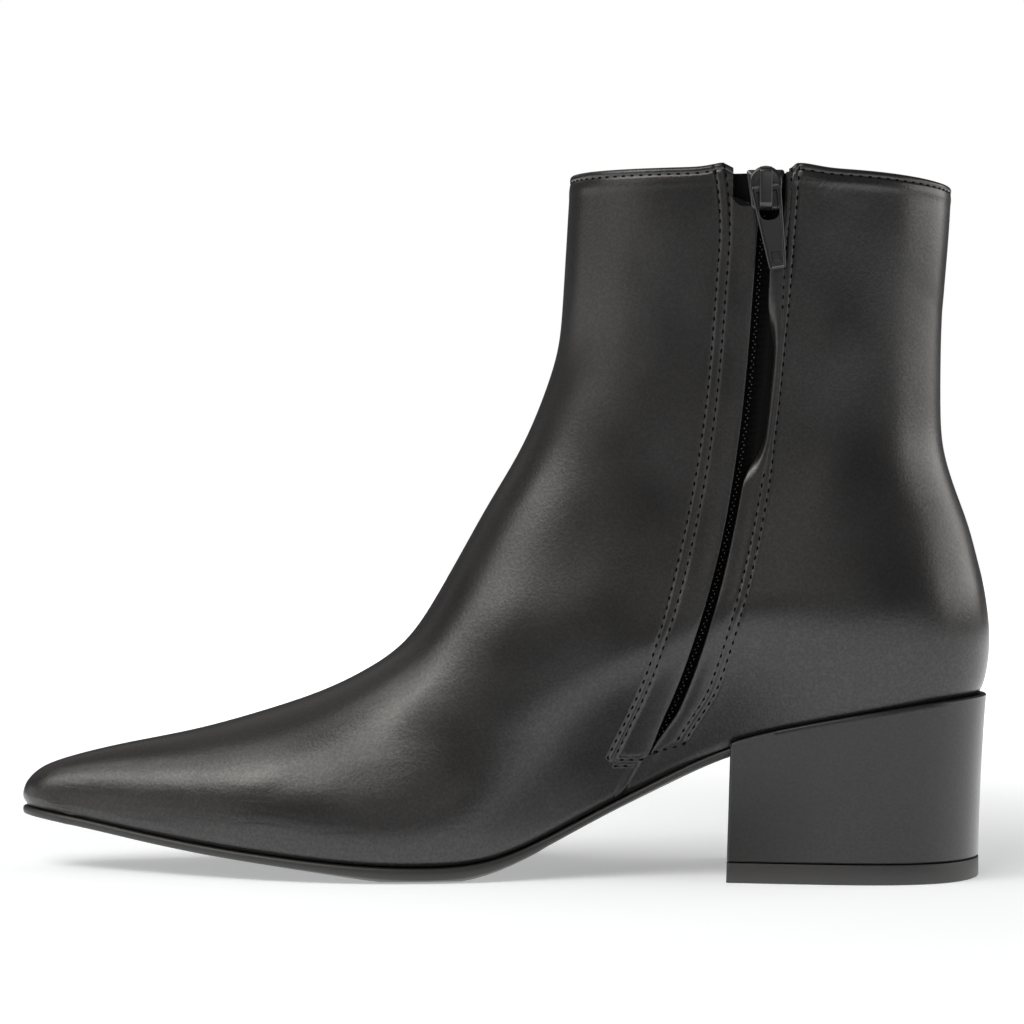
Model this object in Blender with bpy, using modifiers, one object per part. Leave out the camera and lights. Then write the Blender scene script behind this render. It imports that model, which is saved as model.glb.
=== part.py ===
"""Heeled bootie, right shoe: a pointed ankle boot with an inside zip and a covered block heel.

Units are metres, +Z up. The toe points to -X, the heel to +X, and the inner (zip) side faces -Y.
The origin lies on the floor, at the middle of the boot's length and width.
Sizes below are in millimetres and are turned into metres by MM when a mesh is made.
"""
import bmesh
import bpy
import numpy as np
from mathutils import Matrix, Vector

MM = 0.001

# Driving dimensions of the boot
LENGTH = 273.0            # toe tip to the back of the counter
HEIGHT = 195.0            # floor to the front of the collar
BALL_WIDTH = 75.0         # widest part of the forefoot
HEEL_HEIGHT = 50.8        # floor to the top of the heel's lip at the back
LEG_WIDTH = 60.0          # shaft from side to side at the collar
WALL = 2.0                # leather and lining together
SOLE_THICK = 1.9          # edge of the outsole
INSOLE_THICK = 2.5
LIFT_THICK = 5.5          # rubber top piece of the heel
FIT = 0.3                 # gap between pieces that meet
ORIGIN_ALONG = 0.498      # share of LENGTH, from the back, at which the origin lies

# The last, a row for each station. Shares of LENGTH (from the back), of HEEL_HEIGHT and of BALL_WIDTH.
STATION_COLUMNS = ("along", "feather", "axis", "inner", "outer")
STATIONS = np.array([
    (0.000, 0.976, -0.012, 0.376, 0.372),
    (0.060, 0.945, -0.012, 0.376, 0.372),
    (0.115, 0.899, -0.012, 0.373, 0.369),
    (0.200, 0.812, -0.008, 0.350, 0.362),
    (0.265, 0.718, -0.004, 0.332, 0.368),
    (0.340, 0.530, 0.006, 0.320, 0.388),
    (0.400, 0.363, 0.012, 0.334, 0.420),
    (0.460, 0.200, 0.014, 0.385, 0.462),
    (0.500, 0.122, 0.010, 0.432, 0.490),
    (0.560, 0.088, -0.002, 0.478, 0.502),
    (0.630, 0.100, -0.018, 0.492, 0.484),
    (0.710, 0.139, -0.036, 0.458, 0.432),
    (0.790, 0.188, -0.054, 0.372, 0.352),
    (0.870, 0.253, -0.068, 0.266, 0.254),
    (0.940, 0.314, -0.076, 0.172, 0.168),
    (1.000, 0.355, -0.078, 0.110, 0.108),
])

# Girth loops from the feather line to the collar, a row for each. Each loop runs from a point of the back
# to a point of the front. Places and roundings are shares of LENGTH, heights are shares of HEIGHT.
LOOP_COLUMNS = ("front_along", "front_up", "back_along", "back_up", "front_round", "back_round")
LOOPS = np.array([
    (0.9945, 0.0920, 0.0104, 0.2543, 0.046, 0.122),
    (0.9962, 0.1018, 0.0052, 0.2740, 0.046, 0.126),
    (0.9951, 0.1143, 0.0024, 0.2920, 0.047, 0.130),
    (0.9890, 0.1296, 0.0008, 0.3100, 0.049, 0.134),
    (0.9742, 0.1462, 0.0000, 0.3310, 0.054, 0.139),
    (0.9437, 0.1616, 0.0002, 0.3540, 0.064, 0.144),
    (0.8825, 0.1824, 0.0020, 0.3820, 0.086, 0.150),
    (0.8100, 0.2028, 0.0046, 0.4080, 0.110, 0.156),
    (0.7384, 0.2313, 0.0081, 0.4310, 0.135, 0.161),
    (0.6762, 0.2626, 0.0128, 0.4565, 0.156, 0.167),
    (0.6253, 0.2995, 0.0183, 0.4845, 0.176, 0.173),
    (0.5901, 0.3426, 0.0249, 0.5130, 0.194, 0.179),
    (0.5590, 0.4100, 0.0326, 0.5435, 0.212, 0.184),
    (0.5223, 0.5015, 0.0410, 0.5820, 0.222, 0.188),
    (0.4857, 0.5887, 0.0469, 0.6260, 0.222, 0.191),
    (0.4590, 0.6677, 0.0487, 0.6820, 0.214, 0.193),
    (0.4421, 0.7359, 0.0484, 0.7335, 0.206, 0.194),
    (0.4355, 0.7949, 0.0469, 0.7925, 0.200, 0.195),
    (0.4322, 0.8667, 0.0436, 0.8590, 0.196, 0.195),
    (0.4297, 0.9385, 0.0396, 0.9280, 0.194, 0.194),
    (0.4264, 0.9990, 0.0381, 0.9770, 0.194, 0.194),
])
COLLAR_BOW = 1.6          # how far the collar's side stands above the line from its back to its front
ARCH_LOOPS = 12.0         # the loops above this one no longer follow the sole's arch
BOW_LOOPS = 8.0           # and over this many more they take up the collar's bow

# Shaft half width at a height, as shares of HEIGHT and LEG_WIDTH
LEG_COLUMNS = ("up", "half")
LEG = np.array([
    (0.20, 0.520), (0.30, 0.531), (0.365, 0.528), (0.435, 0.503), (0.515, 0.486), (0.64, 0.479), (0.80, 0.484),
    (1.00, 0.500),
])
LEG_RISE = 41.0           # height over the feather line at which the shaft's width takes over
LEG_RUN = 75.0            # length in front of the boot's middle over which it fades to the foot's
TUCK_HEIGHT = 20.0        # the wall turns in under this height
TUCK_SHARE = 0.080        # how far it turns in at the feather line, as a share of its half width
FULLNESS = 2.2            # how quickly a section opens out from its ridge
FULL_AT = 0.85            # rounding lengths from the ridge at which it has its stated width

# Inside zip: its centre line, shares of LENGTH and HEIGHT
ZIP_COLUMNS = ("up", "along")
ZIP = np.array([
    (0.170, 0.3425), (0.256, 0.3135), (0.359, 0.2875), (0.513, 0.2610),
    (0.667, 0.2440), (0.821, 0.2345), (1.010, 0.2245),
])
SLOT_FRONT = 8.3          # slot edges in the upper, in front of and behind the zip's centre line
SLOT_BACK = 6.0
SLOT_END_LOOP = 2.0       # the slot stops at this loop
ZIP_END = 36.5            # height of the zip's lower end
BACK_STRIP_END = 42.0     # height of the back strip's lower end
STRIP_SINK = 0.6          # the strips lie this far under the upper's face
STRIP_THICK = 1.2
STRIP_GAP = 1.3           # from the centre line to a strip's inner edge
STRIP_NOTCH = 13.4        # the strips stop this far under the collar to clear the slider
STRIP_ROOM = 0.4          # from a strip's outer edge to the slot's
STRIP_LOOSE = 2.4         # the back strip's edge bulges away from the teeth by this much
STRIP_LOOSE_AT = 149.0    # at this height
STRIP_LOOSE_RUN = 22.0    # and over this reach
TEETH_WIDTH = 4.4
TEETH_THICK = 1.0
TAPE_THICK = 0.6
TAPE_FRONT = 10.5
TAPE_BACK = 8.8
TAPE_LIFT = 0.9           # gap from the upper's lining to the tape's sides
TAPE_BED = 2.8            # half width of the bed the teeth lie in
TAPE_SLOPE = 1.2          # width of the slope from the bed to a side
TAPE_DROP = 1.5           # the tape stops this far under the collar
TEETH_ROOM = 1.0          # gap from the teeth's upper end to the slider

# Slider and pull tab
SLIDER_DROP = 5.8         # collar edge to the tab's hinge
SLIDER_WIDTH = 9.8
SLIDER_LENGTH = 11.5
BRIDGE_WIDTH = 3.4
BRIDGE_THICK = 1.2
BRIDGE_BEVEL = 0.9
BAR_ROOM = 1.35           # half the height of the space under the bridge
SLIDER_TOP = 0.9          # slider's face above the upper's face
TAB_LENGTH = 23.0
TAB_TOP_WIDTH = 8.4
TAB_FOOT_WIDTH = 4.6
TAB_THICK = 1.5
TAB_BAR = 1.7             # width of the bar that the tab hangs by
TAB_WINDOW = 8.0          # length of the window under the bar
TAB_WINDOW_WIDTH = 5.6
TAB_LEAN = 8.4            # degrees the tab hangs off the vertical, towards the heel

# Outsole and heel
SOLE_EDGE = 1.1           # the sole's edge stands this far outside the feather line
TOE_EDGE = 0.4            # at the toe tip it is nearly flush
TOE_RUN = 20.0            # length over which it draws in there
SEAT_EDGE = -0.3          # at the heel seat the sole stays inside the heel's lip
SEAT_RUN = 16.0           # length over which it draws in there
BALL_X = -16.0            # where the forefoot meets the floor
TREAD_BALL = 1.1          # the forepart tread adds this much to the edge at the ball
TREAD_SPREAD = 27.0       # how far that reaches from the ball
TREAD_THICK = 0.3         # and this much all over the forepart
TREAD_END = 0.452         # share of LENGTH at which the tread stops
BELLY = 0.7               # the underside is this much lower than its edges
BALL_BELLY = 0.9          # and this much more at the ball, where the floor flattens it
BELLY_INSET = 5.0         # width of the slope from the edge to the belly
INSOLE_ROOM = 0.8         # gap from the insole to the wall
BREAST = 0.2662           # share of LENGTH at which the heel's front face stands, at the floor
BREAST_LEAN = 1.6         # the front face's top stands this far back
LIP_GAP = 0.9             # feather line to the inside of the heel's lip
LIP_THICK = 1.3
LIP_RISE = 1.2            # lip's top above the feather line
HEEL_TAPER = 0.3          # the heel's foot is this much smaller on each side
HEEL_BACK_LEAN = 1.9      # and this much shorter still at its back
HEEL_BACK_RUN = 25.0      # length over which the back draws in
HEEL_SIDE_HOLLOW = 0.4    # the heel's wall is this much hollow half way up
LIFT_BEVEL = 0.5
SEAT_FIT = 0.5            # gap from the sole to the heel's seat

# Mesh fineness
LOOP_STEPS = (0, 0.35, 0.8, 1.4, 2, 2.7, 3.5, 4.3, 5.1, 6, 7, 8, 9, 10, 10.6, 11.2, 11.8, 12.4, 13.1,
              13.8, 14.5, 15.2, 16, 17, 18, 19, 20)
BACK_COLUMNS = 10         # inner side, heel to slot
SLOT_COLUMNS = 2          # under the slot's end
FRONT_COLUMNS = 16        # inner side, slot to toe
OUTER_COLUMNS = 25        # outer side
PLAN_STEPS = 44           # points on each side of a sole or heel outline
HEEL_LEVELS = (0.0, 0.25, 0.5, 0.75, 0.97)


def column(table, names, name):
    """One named column of a table."""
    return table[:, names.index(name)]


def spline(at, values, x):
    """Natural cubic spline through table values, held flat outside the table."""
    at = np.asarray(at, float)
    values = np.asarray(values, float)
    step = np.diff(at)
    rise = np.diff(values) / step
    count = len(at)
    system = np.eye(count)
    right = np.zeros(count)
    for i in range(1, count - 1):
        system[i, i - 1:i + 2] = step[i - 1], 2 * (step[i - 1] + step[i]), step[i]
        right[i] = 6 * (rise[i] - rise[i - 1])
    bend = np.linalg.solve(system, right)
    x = np.clip(x, at[0], at[-1])
    i = np.clip(np.searchsorted(at, x) - 1, 0, count - 2)
    a = at[i + 1] - x
    b = x - at[i]
    h = step[i]
    return ((bend[i] * a ** 3 + bend[i + 1] * b ** 3) / (6 * h)
            + (values[i] / h - bend[i] * h / 6) * a + (values[i + 1] / h - bend[i + 1] * h / 6) * b)


def smoothstep(t):
    t = np.clip(t, 0, 1)
    return t * t * (3 - 2 * t)


def station(name, x):
    """A column of the last's stations at x, in millimetres."""
    scale = HEEL_HEIGHT if name == "feather" else BALL_WIDTH
    return scale * spline(column(STATIONS, STATION_COLUMNS, "along"),
                          column(STATIONS, STATION_COLUMNS, name), ORIGIN_ALONG - np.asarray(x) / LENGTH)


def loop_value(name, loop):
    """A column of the girth loops, in millimetres, at a loop number that may lie between two rows."""
    value = spline(np.arange(len(LOOPS)), column(LOOPS, LOOP_COLUMNS, name), loop)
    if name.endswith("along"):
        return LENGTH * (ORIGIN_ALONG - value)
    return value * (HEIGHT if name.endswith("up") else LENGTH)


# The front and back profiles, sampled finely, for distances from them
PROFILE_LOOPS = np.linspace(0, len(LOOPS) - 1, 801)
FRONT_X = loop_value("front_along", PROFILE_LOOPS)
FRONT_Z = loop_value("front_up", PROFILE_LOOPS)
FRONT_ROUND = loop_value("front_round", PROFILE_LOOPS)
BACK_X = loop_value("back_along", PROFILE_LOOPS)
BACK_Z = loop_value("back_up", PROFILE_LOOPS)
BACK_ROUND = loop_value("back_round", PROFILE_LOOPS)


def opening_out(t):
    """Share of the full half width at t rounding lengths from the ridge of a section."""
    return np.sqrt(1 - np.exp(-FULLNESS * np.maximum(t, 0)))


def shaft_share(x, z):
    """How far the shaft has taken over from the foot: 0 at the feather line and over the toes, 1 up the leg."""
    return smoothstep((z - station("feather", x)) / LEG_RISE) * smoothstep(np.asarray(x) / LEG_RUN + 1)


def half_width(x, z, side):
    """Half width of the boot at a place of its side view.

    The sole's half width passes into the shaft's with height, is rounded off towards the front and back
    profiles by the distance from them, and turns in over the feather line.
    """
    x, z = np.broadcast_arrays(np.asarray(x, float), np.asarray(z, float))
    over = z - station("feather", x)
    low = station(side, x)
    leg = LEG_WIDTH * spline(column(LEG, LEG_COLUMNS, "up"), column(LEG, LEG_COLUMNS, "half"), z / HEIGHT)
    full = low + (leg - low) * shaft_share(x, z)
    gap = np.hypot(x[..., None] - FRONT_X, z[..., None] - FRONT_Z)
    nearest = gap.argmin(axis=-1)
    front = opening_out(gap.min(axis=-1) / FRONT_ROUND[nearest]) / opening_out(FULL_AT)
    back_round = np.interp(z, BACK_Z, BACK_ROUND)
    back = opening_out((np.interp(z, BACK_Z, BACK_X) - x) / back_round)
    tuck = 1 - TUCK_SHARE * np.clip(1 - over / TUCK_HEIGHT, 0, 1) ** 2
    return full * front * back * tuck


def middle(x, z):
    """Y of the boot's middle line: it follows the foot's curve below and the heel's axis above."""
    low = station("axis", x)
    return low + (station("axis", LENGTH / 2) - low) * shaft_share(x, z)


def wall_y(x, z, side):
    """Y of the upper's outer face on its inner or outer side."""
    sign = -1 if side == "inner" else 1
    return middle(x, z) + sign * half_width(x, z, side)


def loop_point(share, loop):
    """Side view place (x, z) on a girth loop, share 0 at the back and 1 at the front."""
    front_x = loop_value("front_along", loop)
    front_z = loop_value("front_up", loop)
    back_x = loop_value("back_along", loop)
    back_z = loop_value("back_up", loop)
    x = back_x + (front_x - back_x) * share
    line = back_z + (front_z - back_z) * share
    base_x = loop_value("back_along", 0) + (loop_value("front_along", 0) - loop_value("back_along", 0)) * share
    base = loop_value("back_up", 0) + (loop_value("front_up", 0) - loop_value("back_up", 0)) * share
    fade = np.clip(1 - loop / ARCH_LOOPS, 0, 1) ** 1.5
    bow = COLLAR_BOW * share * (1 - share) ** 2 * 27 / 4 * smoothstep((loop - ARCH_LOOPS) / BOW_LOOPS)
    return x, line + (station("feather", base_x) - base) * fade + bow


def zip_x(z):
    along = spline(column(ZIP, ZIP_COLUMNS, "up"), column(ZIP, ZIP_COLUMNS, "along"), z / HEIGHT)
    return LENGTH * (ORIGIN_ALONG - along)


def zip_slant(z):
    """Length along a level line for each millimetre across the zip."""
    slope = (zip_x(z + 0.5) - zip_x(z - 0.5))
    return np.sqrt(1 + slope ** 2)


def zip_point(z, offset, lift):
    """Points of the zip's own frame: height z, offset across (plus is backwards), lift off the upper's face."""
    z, offset, lift = np.broadcast_arrays(*(np.asarray(v, float) for v in (z, offset, lift)))
    x = zip_x(z) + offset * zip_slant(z)
    step = 0.5
    y = wall_y(x, z, "inner")
    dy_dx = (wall_y(x + step, z, "inner") - wall_y(x - step, z, "inner")) / (2 * step)
    dy_dz = (wall_y(x, z + step, "inner") - wall_y(x, z - step, "inner")) / (2 * step)
    normal = np.stack([dy_dx, -np.ones_like(y), dy_dz], axis=-1)
    normal /= np.linalg.norm(normal, axis=-1, keepdims=True)
    return np.stack([x, y, z], axis=-1) + normal * lift[..., None]


def collar_z(x):
    """Height of the collar's edge over x."""
    share = np.linspace(0, 1, 200)
    edge_x, edge_z = loop_point(share, float(len(LOOPS) - 1))
    return np.interp(x, edge_x[::-1], edge_z[::-1])


def slot_share(loop, offset):
    """Share along a loop at which it crosses a line that runs beside the zip."""
    share = np.linspace(0.02, 0.9, 600)
    x, z = loop_point(share, loop)
    across = (x - zip_x(z)) / zip_slant(z)
    return np.interp(-offset, -across, share)


def eased(count):
    """Shares from 0 to 1, closer together at both ends, where a loop turns round."""
    return (1 - np.cos(np.pi * np.linspace(0, 1, count + 1))) / 2


def closer_at_start(count):
    """Shares from 0 to 1, closer together towards 0."""
    return np.linspace(0, 1, count + 1) ** 1.8


def make_material(name, colour, roughness, metallic=0.0):
    material = bpy.data.materials.new(name)
    material.use_nodes = True
    shader = material.node_tree.nodes["Principled BSDF"]
    shader.inputs["Base Color"].default_value = (*colour, 1)
    shader.inputs["Roughness"].default_value = roughness
    shader.inputs["Metallic"].default_value = metallic
    return material


def mesh_object(name, points, faces, material):
    """A named object from points in millimetres, with its faces turned outwards."""
    mesh = bpy.data.meshes.new(name)
    mesh.from_pydata((np.asarray(points) * MM).tolist(), [], faces)
    build = bmesh.new()
    build.from_mesh(mesh)
    bmesh.ops.remove_doubles(build, verts=build.verts, dist=1e-6)
    bmesh.ops.recalc_face_normals(build, faces=build.faces)
    build.to_mesh(mesh)
    build.free()
    mesh.materials.append(material)
    mesh.shade_smooth()
    mesh.set_sharp_from_angle(angle=np.radians(35))
    item = bpy.data.objects.new(name, mesh)
    PARTS.objects.link(item)
    item.parent = BOOT
    return item


def loft(name, rings, material):
    """A closed solid through rings of equal point count, with flat ends."""
    count, size, _ = rings.shape
    faces = [tuple(range(size)), tuple(range((count - 1) * size, count * size))]
    for i in range(count - 1):
        for j in range(size):
            k = (j + 1) % size
            faces.append((i * size + j, i * size + k, (i + 1) * size + k, (i + 1) * size + j))
    return mesh_object(name, rings.reshape(-1, 3), faces, material)


def make_upper(material):
    """The leather wall: girth loops round the last, less the slot of the zip, thickened inwards."""
    loops = np.array(LOOP_STEPS, float)
    rear = np.array([slot_share(loop, SLOT_BACK) for loop in loops])
    fore = np.array([slot_share(loop, -SLOT_FRONT) for loop in loops])
    across_slot = np.linspace(0, 1, SLOT_COLUMNS + 1)[1:-1]
    inner_share = np.concatenate([
        rear[:, None] * closer_at_start(BACK_COLUMNS),
        rear[:, None] + (fore - rear)[:, None] * across_slot,
        1 - (1 - fore)[:, None] * closer_at_start(FRONT_COLUMNS)[::-1]], axis=1)
    outer_share = np.broadcast_to(eased(OUTER_COLUMNS)[::-1], (len(loops), OUTER_COLUMNS + 1))[:, 1:-1]
    share = np.concatenate([inner_share, outer_share], axis=1)
    x, z = loop_point(share, loops[:, None])
    inner_count = inner_share.shape[1]
    y = np.concatenate([wall_y(x[:, :inner_count], z[:, :inner_count], "inner"),
                        wall_y(x[:, inner_count:], z[:, inner_count:], "outer")], axis=1)
    ridge = middle(x, z)
    for end in (0, inner_count - 1):
        y[:, end] = ridge[:, end]
    points = np.stack([x, y, z], axis=-1)
    rows, around = x.shape
    faces = []
    for i in range(rows - 1):
        for j in range(around):
            if BACK_COLUMNS <= j < BACK_COLUMNS + SLOT_COLUMNS and loops[i] >= SLOT_END_LOOP:
                continue
            k = (j + 1) % around
            faces.append((i * around + j, i * around + k, (i + 1) * around + k, (i + 1) * around + j))
    upper = mesh_object("upper", points.reshape(-1, 3), faces, material)
    wall = upper.modifiers.new("wall", "SOLIDIFY")
    wall.thickness = WALL * MM
    wall.offset = -1
    wall.use_even_offset = True
    wall.use_quality_normals = True
    return upper


def zip_rows(low, high):
    """Heights of the sections of a piece that follows the zip."""
    return np.linspace(low, high, max(3, int((high - low) / 6.5)))


def zip_bar(name, z, section, material):
    """A solid that follows the zip: section gives its corners (offset, lift) at each height."""
    corners = np.array([section(height) for height in z])
    return loft(name, zip_point(z[:, None], corners[..., 0], corners[..., 1]), material)


def make_zip(leather, cloth, coil):
    """The two leather strips, the tape behind them and the closed coil between."""
    top = float(collar_z(zip_x(HEIGHT)))
    strip_out = -STRIP_SINK
    strip_in = strip_out - STRIP_THICK
    teeth_out = strip_in - FIT
    teeth_in = teeth_out - TEETH_THICK
    slider_foot = top - SLIDER_DROP - SLIDER_LENGTH / 2 - TEETH_ROOM

    def front_strip(height):
        edge = SLOT_FRONT - STRIP_ROOM
        return [(-edge, strip_in), (-STRIP_GAP, strip_in), (-STRIP_GAP, strip_out), (-edge, strip_out)]

    def back_strip(height):
        edge = SLOT_BACK - STRIP_ROOM
        near = STRIP_GAP + STRIP_LOOSE * np.exp(-((height - STRIP_LOOSE_AT) / STRIP_LOOSE_RUN) ** 2)
        return [(near, strip_in), (edge, strip_in), (edge, strip_out), (near, strip_out)]

    def teeth(height):
        half = TEETH_WIDTH / 2
        return [(-half, teeth_in), (half, teeth_in), (half, teeth_out), (-half, teeth_out)]

    def tape(height):
        side = -WALL - TAPE_LIFT
        under = teeth_in - FIT
        upper_face = [(-TAPE_FRONT, side), (-TAPE_BED - TAPE_SLOPE, side), (-TAPE_BED, under),
                      (TAPE_BED, under), (TAPE_BED + TAPE_SLOPE, side), (TAPE_BACK, side)]
        return upper_face + [(offset, lift - TAPE_THICK) for offset, lift in reversed(upper_face)]

    zip_bar("zip_front_strip", zip_rows(ZIP_END, top - STRIP_NOTCH), front_strip, leather)
    zip_bar("zip_back_strip", zip_rows(BACK_STRIP_END, top - STRIP_NOTCH), back_strip, leather)
    zip_bar("zip_teeth", zip_rows(ZIP_END, slider_foot), teeth, coil)
    zip_bar("zip_tape", zip_rows(ZIP_END - 2, top - TAPE_DROP), tape, cloth)


def outline_object(name, rings, thickness, location, material):
    """A flat outline with any holes, extruded both ways by half its thickness, as a mesh."""
    curve = bpy.data.curves.new(name, "CURVE")
    curve.dimensions = "2D"
    curve.fill_mode = "BOTH"
    curve.extrude = thickness * MM / 2
    for ring in rings:
        line = curve.splines.new("POLY")
        line.points.add(len(ring) - 1)
        for point, (across, up) in zip(line.points, ring):
            point.co = (across * MM, up * MM, 0, 1)
        line.use_cyclic_u = True
    guide = bpy.data.objects.new(name + "_outline", curve)
    PARTS.objects.link(guide)
    mesh = bpy.data.meshes.new_from_object(guide.evaluated_get(bpy.context.evaluated_depsgraph_get()))
    bpy.data.objects.remove(guide)
    build = bmesh.new()
    build.from_mesh(mesh)
    bmesh.ops.remove_doubles(build, verts=build.verts, dist=1e-6)
    bmesh.ops.translate(build, verts=build.verts, vec=Vector(location) * MM)
    build.to_mesh(mesh)
    build.free()
    mesh.name = name
    mesh.materials.append(material)
    item = bpy.data.objects.new(name, mesh)
    PARTS.objects.link(item)
    return item


def arc(centre, radius, start, end, count):
    """Points of an arc, angles in degrees."""
    angle = np.radians(np.linspace(start, end, count))
    return [(centre[0] + radius * np.cos(a), centre[1] + radius * np.sin(a)) for a in angle]


def slider_frame(lean):
    """World matrix at the tab's hinge: X across the zip, Y up the boot, Z out of its side."""
    hinge_z = float(collar_z(zip_x(HEIGHT))) - SLIDER_DROP
    hinge = zip_point(hinge_z, 0.0, SLIDER_TOP + BAR_ROOM)
    out = Vector(zip_point(hinge_z, 0.0, 1.0) - zip_point(hinge_z, 0.0, 0.0))
    up = Vector((0, 0, 1))
    up = (up - out * up.dot(out)).normalized()
    across = up.cross(out)
    turn = Matrix((across, up, out)).transposed() @ Matrix.Rotation(np.radians(lean), 3, "Z")
    return Matrix.LocRotScale(Vector(hinge) * MM, turn, None)


def make_slider(material):
    """Slider body with a shield outline, and the bridge that the tab hangs on."""
    half = SLIDER_WIDTH / 2
    length = SLIDER_LENGTH / 2
    foot_half = half * 0.78
    shield = arc((half - 2.5, length - 2.5), 2.5, 0, 90, 4) + arc((2.5 - half, length - 2.5), 2.5, 90, 180, 4)
    shield += arc((1.5 - foot_half, 1.5 - length), 1.5, 180, 270, 4)
    shield += arc((foot_half - 1.5, 1.5 - length), 1.5, 270, 360, 4)
    face = -BAR_ROOM
    back = -SLIDER_TOP - BAR_ROOM - WALL - TAPE_LIFT + FIT + 0.1
    body = outline_object("zip_slider", [shield], face - back, (0, 0, (face + back) / 2), material)
    roof = BAR_ROOM + BRIDGE_THICK
    reach = length - 1.0
    foot = face - 0.5
    inner = reach - 1.5
    bevel = BRIDGE_BEVEL
    bridge_side = [(reach, foot), (reach, roof - bevel), (reach - bevel, roof), (bevel - reach, roof),
                   (-reach, roof - bevel), (-reach, foot), (-inner, foot), (-inner, BAR_ROOM - bevel / 2),
                   (bevel / 2 - inner, BAR_ROOM), (inner - bevel / 2, BAR_ROOM), (inner, BAR_ROOM - bevel / 2),
                   (inner, foot)]
    bridge = outline_object("bridge", [bridge_side], BRIDGE_WIDTH, (0, 0, 0), material)
    stand_up = Matrix(((0, 0, 1, 0), (1, 0, 0, 0), (0, 1, 0, 0), (0, 0, 0, 1)))
    bridge.data.transform(stand_up)
    PARTS.objects.unlink(bridge)
    CUTTERS.objects.link(bridge)
    bridge.hide_render = True
    bridge.display_type = "WIRE"
    bridge.parent = body
    join = body.modifiers.new("bridge", "BOOLEAN")
    join.operation = "UNION"
    join.object = bridge
    body.parent = BOOT
    body.matrix_world = slider_frame(0.0)
    return body


def make_pull_tab(material):
    """Tapered tab with a window under its bar. Its origin is on the hinge axis."""
    top = TAB_BAR / 2
    half = TAB_TOP_WIDTH / 2
    foot = TAB_FOOT_WIDTH / 2
    low = top - TAB_LENGTH
    edge = arc((half - 1.6, top - 1.6), 1.6, 0, 90, 4) + arc((1.6 - half, top - 1.6), 1.6, 90, 180, 4)
    edge += arc((0, low + foot), foot, 180, 360, 9)
    sill = -top - TAB_WINDOW
    wide = TAB_WINDOW_WIDTH / 2
    narrow = wide * 0.85
    window = [(wide, -top), (-wide, -top)] + arc((0, sill + narrow), narrow, 180, 360, 7)
    tab = outline_object("zip_pull_tab", [edge, window], TAB_THICK, (0, 0, 0), material)
    round_edge = tab.modifiers.new("round_edge", "BEVEL")
    round_edge.width = 0.3 * MM
    round_edge.segments = 1
    round_edge.limit_method = "ANGLE"
    round_edge.angle_limit = np.radians(60)
    tab.parent = BOOT
    tab.matrix_world = slider_frame(TAB_LEAN)
    return tab


def feather_half(x, side):
    """Distance of the feather line from the middle line at x."""
    return half_width(x, station("feather", x), side)


def feather_line(front, back, closed):
    """Plan of the feather line from its front end, along the inner side, round the back and along the outer side.

    A closed line starts at the toe tip. An open one starts and ends at the heel's front face.
    """
    t = np.linspace(-1, 1, 2 * PLAN_STEPS + 1)
    ease = (1 + np.cos(np.pi * t)) / 2 if closed else np.sin(np.pi / 2 * (1 - np.abs(t)))
    x = front + (back - front) * ease
    half = np.where(t < 0, feather_half(x, "inner"), feather_half(x, "outer"))
    half[PLAN_STEPS] = 0
    if closed:
        half[[0, -1]] = 0
    plan = np.stack([x, station("axis", x) + np.sign(t) * half], axis=-1)
    return plan[:-1] if closed else plan


def grown(plan, amount, closed):
    """A plan line moved outwards along its own normal. An open line's ends move straight sideways."""
    if closed:
        ahead = np.roll(plan, -1, axis=0) - np.roll(plan, 1, axis=0)
    else:
        ahead = np.gradient(plan, axis=0)
        ahead[[0, -1], 1] = 0
    normal = np.stack([ahead[:, 1], -ahead[:, 0]], axis=-1)
    normal /= np.linalg.norm(normal, axis=1, keepdims=True)
    return plan + normal * np.reshape(amount, (-1, 1))


def slab(name, rings, closed, material):
    """A solid from stacked rings of plan points, closed above and below by rungs from side to side."""
    count = len(rings)
    size = len(rings[0])
    faces = []
    for i in range(count - 1):
        for j in range(size if closed else size - 1):
            k = (j + 1) % size
            faces.append((i * size + j, i * size + k, (i + 1) * size + k, (i + 1) * size + j))
    for start in (0, (count - 1) * size):
        for j in range(size // 2):
            opposite = (size - j) % size if closed else size - 1 - j
            following = size - j - 1 if closed else size - 2 - j
            faces.append((start + j, start + j + 1, start + following, start + opposite))
    if not closed:
        faces.append(tuple([i * size for i in range(count)] + [i * size + size - 1 for i in reversed(range(count))]))
    faces = [tuple(dict.fromkeys(face)) for face in faces]
    return mesh_object(name, np.concatenate(rings), faces, material)


def at_height(plan, height):
    return np.column_stack([plan, np.broadcast_to(height, len(plan))])


def sole_edge_bottom(x):
    """Lower edge of the outsole's side: an even thickness, with a tread that is thickest at the ball."""
    tread = TREAD_THICK * smoothstep(LENGTH * (ORIGIN_ALONG - TREAD_END) - x)
    tread += TREAD_BALL * np.exp(-((x - BALL_X) / TREAD_SPREAD) ** 2)
    return station("feather", x) - FIT - SOLE_THICK - tread


def sole_bottom(x):
    """Underside of the outsole inside its edges, flattened by the floor at the ball."""
    belly = BELLY + BALL_BELLY * np.exp(-((x - BALL_X) / TREAD_SPREAD) ** 2)
    return np.maximum(sole_edge_bottom(x) - belly, 0.0)


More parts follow.
